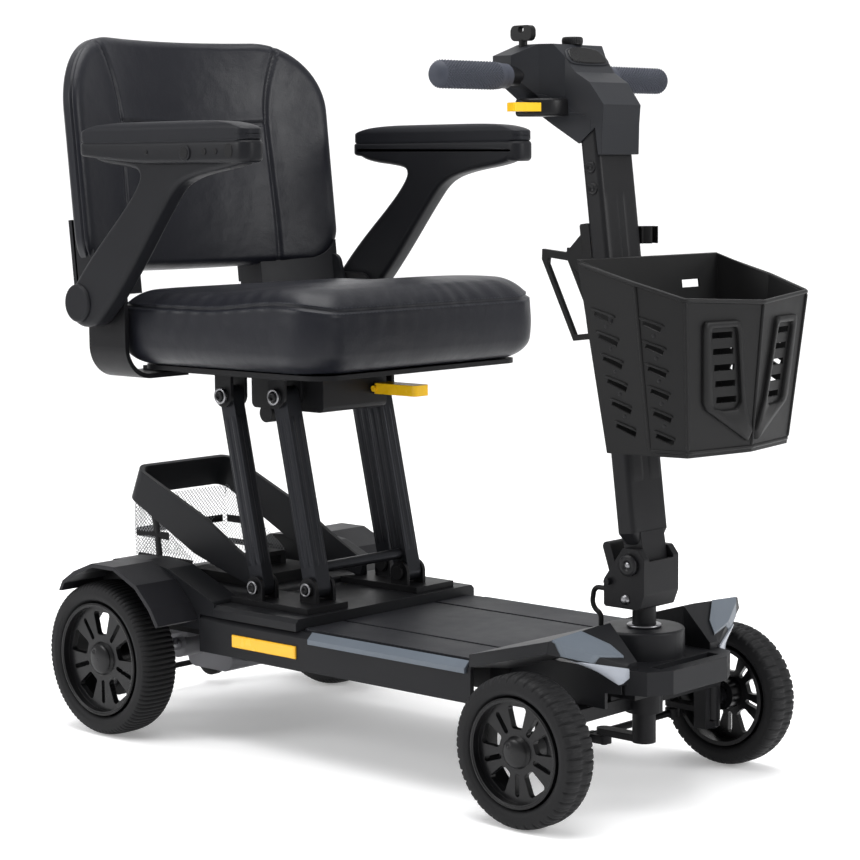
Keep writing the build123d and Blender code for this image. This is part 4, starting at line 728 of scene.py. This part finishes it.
def strap(name, route, width_way, width, out):
    """A flat band: a smoothed route of points, spread to its width along one direction, raised off the net."""
    route = np.asarray(route, float)
    s = np.linspace(0, len(route) - 1, 60)
    line = np.stack([np.interp(s, np.arange(len(route)), route[:, k]) for k in range(3)], 1)
    kernel = np.ones(9) / 9
    ends = np.pad(line, ((4, 4), (0, 0)), mode="edge")
    line = np.stack([np.convolve(ends[:, k], kernel, "valid") for k in range(3)], 1)
    loop = np.array([(-0.5, 0), (-0.5, 0.0012), (0, 0.0016), (0.5, 0.0012), (0.5, 0), (0, -0.0002)])
    points = (line[:, None] + loop[None, :, :1] * width * np.asarray(width_way)
              + loop[None, :, 1:] * np.asarray(out))
    piece = make(name, points, quads(60, 6, False, True), webbing)
    if "hem" in name:
        return fitted(piece, "chassis", "cable_black")
    return hung(piece, "cable_black")


LEVEL_STRAP = floor_z + 0.036
for label, y_sign in (("right", -1), ("left", 1)):
    y, out = y_sign * (half_y + 0.0006), (0, y_sign, 0)
    strap(f"net_strap_level_{label}", [(low.x + 0.004, y, LEVEL_STRAP), (high.x - 0.052, y, LEVEL_STRAP)],
          (0, 0, 1), 0.010, out)
    strap(f"net_strap_upright_{label}", [(low.x + 0.052, y, floor_z + 0.002), (low.x + 0.046, y, floor_z + 0.050),
                                         (low.x + 0.040, y, floor_z + 0.070)], (1, 0, 0), 0.012, out)
    strap(f"net_hem_{label}", [(high.x - 0.004, y, floor_z + 0.004), (low.x + 0.006, y, floor_z + 0.004)],
          (0, 0, 1), 0.008, out)
strap("net_strap_rear", [(low.x + 0.0005, -half_y, LEVEL_STRAP), (low.x - 0.004, 0, LEVEL_STRAP),
                         (low.x + 0.0005, half_y, LEVEL_STRAP)], (0, 0, 1), 0.010, (-1, 0, 0))

# --- Grips ---
# Moulded rubber grips: a fine diamond knurl over most of their length, a smooth collar at the inner
# end and a rounded plug at the outer one. The knurl is the product of two slanting waves.
grip_rubber = surface("grip_rubber", (0.044, 0.048, 0.062), 0.55, pits=0.3, scale=700, edge=0.0)
low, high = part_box("grips")
grip_x, grip_z = (low.x + high.x) / 2, (low.z + high.z) / 2
outer_end, inner_end, grip_r = high.y, 0.088, (high.z - low.z) / 2
for label, y_sign in (("right", -1), ("left", 1)):
    s, t = np.meshgrid(np.linspace(0, 1, 300), np.linspace(0, 2 * math.pi, 160, endpoint=False), indexing="ij")
    y = inner_end + (outer_end - inner_end) * s
    cap = np.clip((outer_end - y) / 0.012, 0.0, 1)
    collar = 0.93 + 0.07 * np.clip((s - 0.06) / 0.05, 0, 1)
    radius = (grip_r - 0.0007) * np.sqrt(np.clip(1 - (1 - cap) ** 2, 0, 1)) * collar
    knurled = np.clip((s - 0.16) / 0.01, 0, 1) * np.clip((0.93 - s) / 0.01, 0, 1)
    pattern = np.abs(np.sin(14 * t + y * 620)) * np.abs(np.sin(14 * t - y * 620))
    radius = radius + knurled * (0.0019 * pattern - 0.0008)
    points = np.stack([grip_x + radius * np.cos(t), y_sign * y, grip_z + radius * np.sin(t)], -1)
    faces = quads(300, 160, False, True)
    if y_sign > 0:
        faces = faces[:, ::-1]
    grip = make(f"grip_{label}", points, faces, grip_rubber)
    fitted(grip, "tiller", "grip_rubber", "grips")

# --- Tiller fork and mast fittings ---
# The mast turns in the fork on a large shoulder bolt with a black head and a bright centre. A small
# bright bolt below it carries the catch, and a turned ring sits where the fork's post enters the boss.
FORK_EDGE, RING_LEVEL, MAST_LEAN, MAST_SIDE = 0.0331, 0.2032, math.radians(6.9), 0.0328
fold = pivot["tiller_fold"]
fork_bolts = (("fold_bolt", [(0.1, 4.4), (4.2, 4.4), (4.8, 5.2), (11.6, 5.2), (12.6, 4.2), (12.6, 0), (0.1, 0)],
               0, 0, socket_black),
              ("fold_bolt_eye", [(0.1, 4.9), (3.4, 4.8), (3.9, 4.3), (3.9, 3.0)], 0, 0, ring_steel),
              ("fork_foot_bolt", [(0.1, 3.6), (3.0, 3.6), (5.2, 2.8), (6.0, 0)], -0.006, -0.041, ring_steel))
for label, y_sign in (("right", -1), ("left", 1)):
    for name, profile, ahead, above, look_of in fork_bolts:
        lathe(f"{name}_{label}", profile, (fold.x + ahead, y_sign * FORK_EDGE, fold.z + above), (0, y_sign, 0),
              look_of, "column", "fork_black")
lathe("column_ring", [(14.4, 0), (19.5, 0), (20.4, 0.8), (20.4, 2.6), (19.4, 3.4), (14.4, 3.4)],
      (pivot["steering"].x, 0, RING_LEVEL), (0, 0, 1), ring_steel, "column", "fork_black")
# Two round ports on the right of the mast, under the head, each a dished cap in a raised ring.
mast_up = np.array([-math.sin(MAST_LEAN), 0, math.cos(MAST_LEAN)])
mast_ahead = np.array([mast_up[2], 0, -mast_up[0]])
mast_foot = np.array([fold.x - 0.006, 0, fold.z + 0.036])
for number, height in enumerate((0.425, 0.400)):
    lathe(f"mast_port_{number}", [(0.1, 0.6), (3.4, 0.6), (4.2, 1.9), (6.4, 1.9), (7.2, 1.0), (7.2, 0)],
          mast_foot + height * mast_up - np.array([0, MAST_SIDE, 0]), (0, -1, 0), socket_black,
          "tiller", "mast_black", 32)
# Two broad lands run up the front of the mast with a groove between them.
for number, y_at in enumerate((-0.0165, 0.0165)):
    t, k = np.meshgrid(np.linspace(0, 1, 30), np.linspace(-1, 1, 9), indexing="ij")
    proud = 0.0009 * (1 - k ** 8) * np.clip(np.minimum(t, 1 - t) / 0.02, 0, 1) ** 0.5 - 0.0003
    points = (mast_foot + (0.055 + 0.345 * t)[..., None] * mast_up + (0.013 + proud)[..., None] * mast_ahead
              + (y_at + 0.0125 * k)[..., None] * np.array([0, 1, 0]))
    fitted(make(f"mast_land_{number}", points, quads(30, 9), mast_coat), "tiller", "mast_black")

# --- Control head trim ---
# A blank six-sided plate is set on the sloping face of the head, with a raised border. A housing
# wraps the roots of the two levers, and the dial has a knurled skirt.
face_mid = np.array([grip_x + 0.047, 0, grip_z + 0.0235])
face_up = np.array([-0.026, 0, 0.033]) / math.hypot(0.026, 0.033)
face_out = np.array([0.033, 0, 0.026]) / math.hypot(0.033, 0.026)
lever_at, dial = pivot["throttle_swing"], pivot["dial_turn"]
hexagon = eased([(-0.034, -0.006), (-0.028, -0.0125), (0.028, -0.0125), (0.034, -0.006), (0.026, 0.0115),
                 (-0.026, 0.0115)], 2)
housing = eased([(-0.014, -0.083), (0.026, -0.070), (0.034, -0.030), (0.034, 0.030), (0.026, 0.070),
                 (-0.014, 0.083), (-0.020, 0.060), (-0.020, -0.060)], 2)
badge_black = surface("badge_plate_black", (0.006, 0.006, 0.0065), 0.25, pits=0.05, edge=0.0)
on_face = lambda a, b, d: (face_mid + a[..., None] * np.array([0, 1, 0]) + b[..., None] * face_up
                           + d[..., None] * face_out)
in_level = lambda a, b, d: np.stack([lever_at.x + a, lever_at.y + b, lever_at.z + d], -1)
for name, outline, near, far, radius, look_of, place in (
        ("badge_plate", hexagon, -0.002, 0.0026, 0.0012, badge_black, on_face),
        ("badge_border", hexagon * 1.14, -0.0025, 0.0014, 0.0010, head_abs, on_face),
        ("lever_housing", housing, -0.0105, 0.0105, 0.004, socket_black, in_level)):
    fitted(rounded_plate(name, outline, near, far, radius, look_of, place), "tiller", "head_plastic")
t, h = np.meshgrid(np.linspace(0, 2 * math.pi, 180, endpoint=False), np.linspace(0, 1, 12), indexing="ij")
low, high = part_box("speed_dial")
flutes = 0.0007 * np.abs(np.sin(18 * t)) * np.clip(4 * h * (1 - h), 0, 1)
radius = 0.0119 + flutes - 0.0012 * np.clip((h - 0.8) / 0.2, 0, 1) ** 2
knurl = np.stack([dial.x + radius * np.cos(t), radius * np.sin(t),
                  low.z + 0.0005 + (high.z - low.z - 0.001) * h], -1)
fitted(make("dial_knurl", knurl, quads(180, 12, True, False), socket_black), "dial", "dial_black")

# --- Basket trim ---
# The basket folds flat: hinge seams run down its corners and along the foot of its front, and a
# rolled bead stiffens the rim. Louvre lips stand over each slot row as raised bars.
def wall_outline(rise):
    """The basket's plan at a share of its height, as seven corners of a tapering outline."""
    rear, joint, corner = 0.027 - 0.026 * rise, 0.082 - 0.002 * rise, 0.128 + 0.014 * rise
    half_rear, half_side, half_front = 0.110 + 0.021 * rise, 0.103 + 0.029 * rise, 0.095 + 0.026 * rise
    side = [(rear, half_rear), (joint, half_side), (corner, half_front)]
    return np.array([*((x, -y) for x, y in side), (0.145 + 0.020 * rise, 0), *side[::-1]])


basket_rear, basket_low, basket_tall = pivot["steering"].x + 0.005, 0.420, 0.218
shape_low, shape_high = wall_outline(0.0), wall_outline(1.0)


def bar_along(name, line, radius):
    """A round bar through a few points with straight runs, drawn in at its two ends."""
    line = np.asarray(line, float)
    walk = np.concatenate([[0], np.cumsum(np.linalg.norm(np.diff(line, axis=0), axis=1))])
    s = np.linspace(0, walk[-1], max(24, int(walk[-1] / 0.004)))
    path = np.stack([np.interp(s, walk, line[:, k]) for k in range(3)], 1)
    tangent = np.gradient(path, axis=0)
    tangent /= np.linalg.norm(tangent, axis=1)[:, None]
    side = np.cross(tangent, (0.0, 0.0, 1.0) if abs(tangent[:, 2]).mean() < 0.8 else (1.0, 0.0, 0.0))
    side /= np.linalg.norm(side, axis=1)[:, None]
    turn = np.linspace(0, 2 * math.pi, 12, endpoint=False)[None, :, None]
    ring = np.cos(turn) * side[:, None] + np.sin(turn) * np.cross(side, tangent)[:, None]
    taper = np.clip(np.minimum(s, s[-1] - s) / (2 * radius) + 0.05, 0, 1) ** 0.5
    points = path[:, None] + (radius * taper)[:, None, None] * ring
    fitted(make(name, points, quads(len(s), 12, False, True), basket_pp), "carry_basket", "basket_plastic")


rim_points = []
for low_corner, high_corner in zip(shape_low, shape_high):
    # The rim falls by 69 mm over 220 mm toward the front.
    rise = (basket_tall + 0.008 - 0.069 * ((low_corner[0] + high_corner[0]) / 2 + 0.030) / 0.220) / basket_tall
    x, y = low_corner + (high_corner - low_corner) * rise
    rim_points.append((basket_rear + x, y, basket_low + basket_tall * rise))
bar_along("basket_rim_bead", [*rim_points, rim_points[0]], 0.0026)
foot = np.stack([basket_rear + shape_low[:, 0], shape_low[:, 1], np.full(7, basket_low + 0.006)], 1)
for number in (1, 2, 3, 4, 5):
    bar_along(f"basket_seam_{number}", [foot[number], rim_points[number]], 0.0022)
bar_along("basket_foot_seam", foot[1:6], 0.0024)


# Two raised panels stand on the front faces round their slot rows, and louvre lips on the sides.
def wall(first, second):
    """The wall between two outline corners: the ends of its foot, the ends of its top, and a function
    that gives a point from its shares along and up."""
    start, end, high_start, high_end = (
        np.array([basket_rear + shape[corner][0], shape[corner][1], level])
        for shape, level in ((shape_low, basket_low), (shape_high, basket_low + basket_tall))
        for corner in (first, second))
    at = lambda u, v: (1 - v) * ((1 - u) * start + u * end) + v * ((1 - u) * high_start + u * high_end)
    return start, end, high_start, high_end, at


outer_loop, inner_loop = (eased(loop, 2, 0.06) for loop in (
    [(0.21, 0.69), (0.21, 0.25), (0.92, 0.055), (0.975, 0.11), (0.82, 0.27), (0.70, 0.69)],
    [(0.30, 0.655), (0.36, 0.245), (0.50, 0.235), (0.70, 0.235), (0.765, 0.27), (0.655, 0.655)]))
# Shares of the way from the outer loop to the inner one, and the panel's height there.
section = ((0.0, -0.1), (0.03, 0.7), (0.09, 1.0), (0.5, 1.0), (0.93, 1.0), (0.98, 0.8), (1.0, -0.1))
PANEL_PROUD = 0.0042
for label, first in (("right", 2), ("left", 4)):
    start, end, high_start, high_end, at = wall(first, 3)
    out = np.cross(end - start, high_start + high_end - start - end)
    out *= math.copysign(1, out[0]) / np.linalg.norm(out)
    points = np.stack([
        [at(u, v) + lift * PANEL_PROUD * out for u, v in outer_loop + share * (inner_loop - outer_loop)]
        for share, lift in section])
    panel = make(f"basket_panel_{label}", points, quads(*points.shape[:2], False, True), basket_pp)
    fitted(panel, "carry_basket", "basket_plastic")
for label, corners, foot_up, row_x, row_step in (
        ("right", (0, 1), 0.028, 0.054, 0.004), ("right_front", (1, 2), 0.020, 0.102, 0.001),
        ("left", (6, 5), 0.028, 0.054, 0.004), ("left_front", (5, 4), 0.020, 0.102, 0.001)):
    start, end, high_start, high_end, at = wall(*corners)
    normal = np.cross(end - start, high_start - start)
    normal *= math.copysign(1, normal[1] * end[1]) / np.linalg.norm(normal)
    half_lip, half_drop = 0.0124 / np.linalg.norm(end - start), 0.0044 / basket_tall
    for row in range(6):
        v = (foot_up + 0.025 * row) / basket_tall
        x = basket_rear + row_x - row_step * row
        u = np.clip((x - at(0, v)[0]) / (at(1, v)[0] - at(0, v)[0]), 0.1, 0.9)
        lip = np.array([at(u + k * half_lip, v - k * half_drop + 0.022) for k in (-1, 0, 1)])
        bar_along(f"basket_lip_{label}_{row}", lip + 0.0006 * normal, 0.0016)
        if row < 5:
            lathe(f"basket_pin_{label}_{row}", [(0.05, 0.5), (1.9, 0.5), (2.3, 0.1), (2.3, -0.4)],
                  at(u, v + 0.068), normal, socket_black, "carry_basket", "basket_plastic", 16)
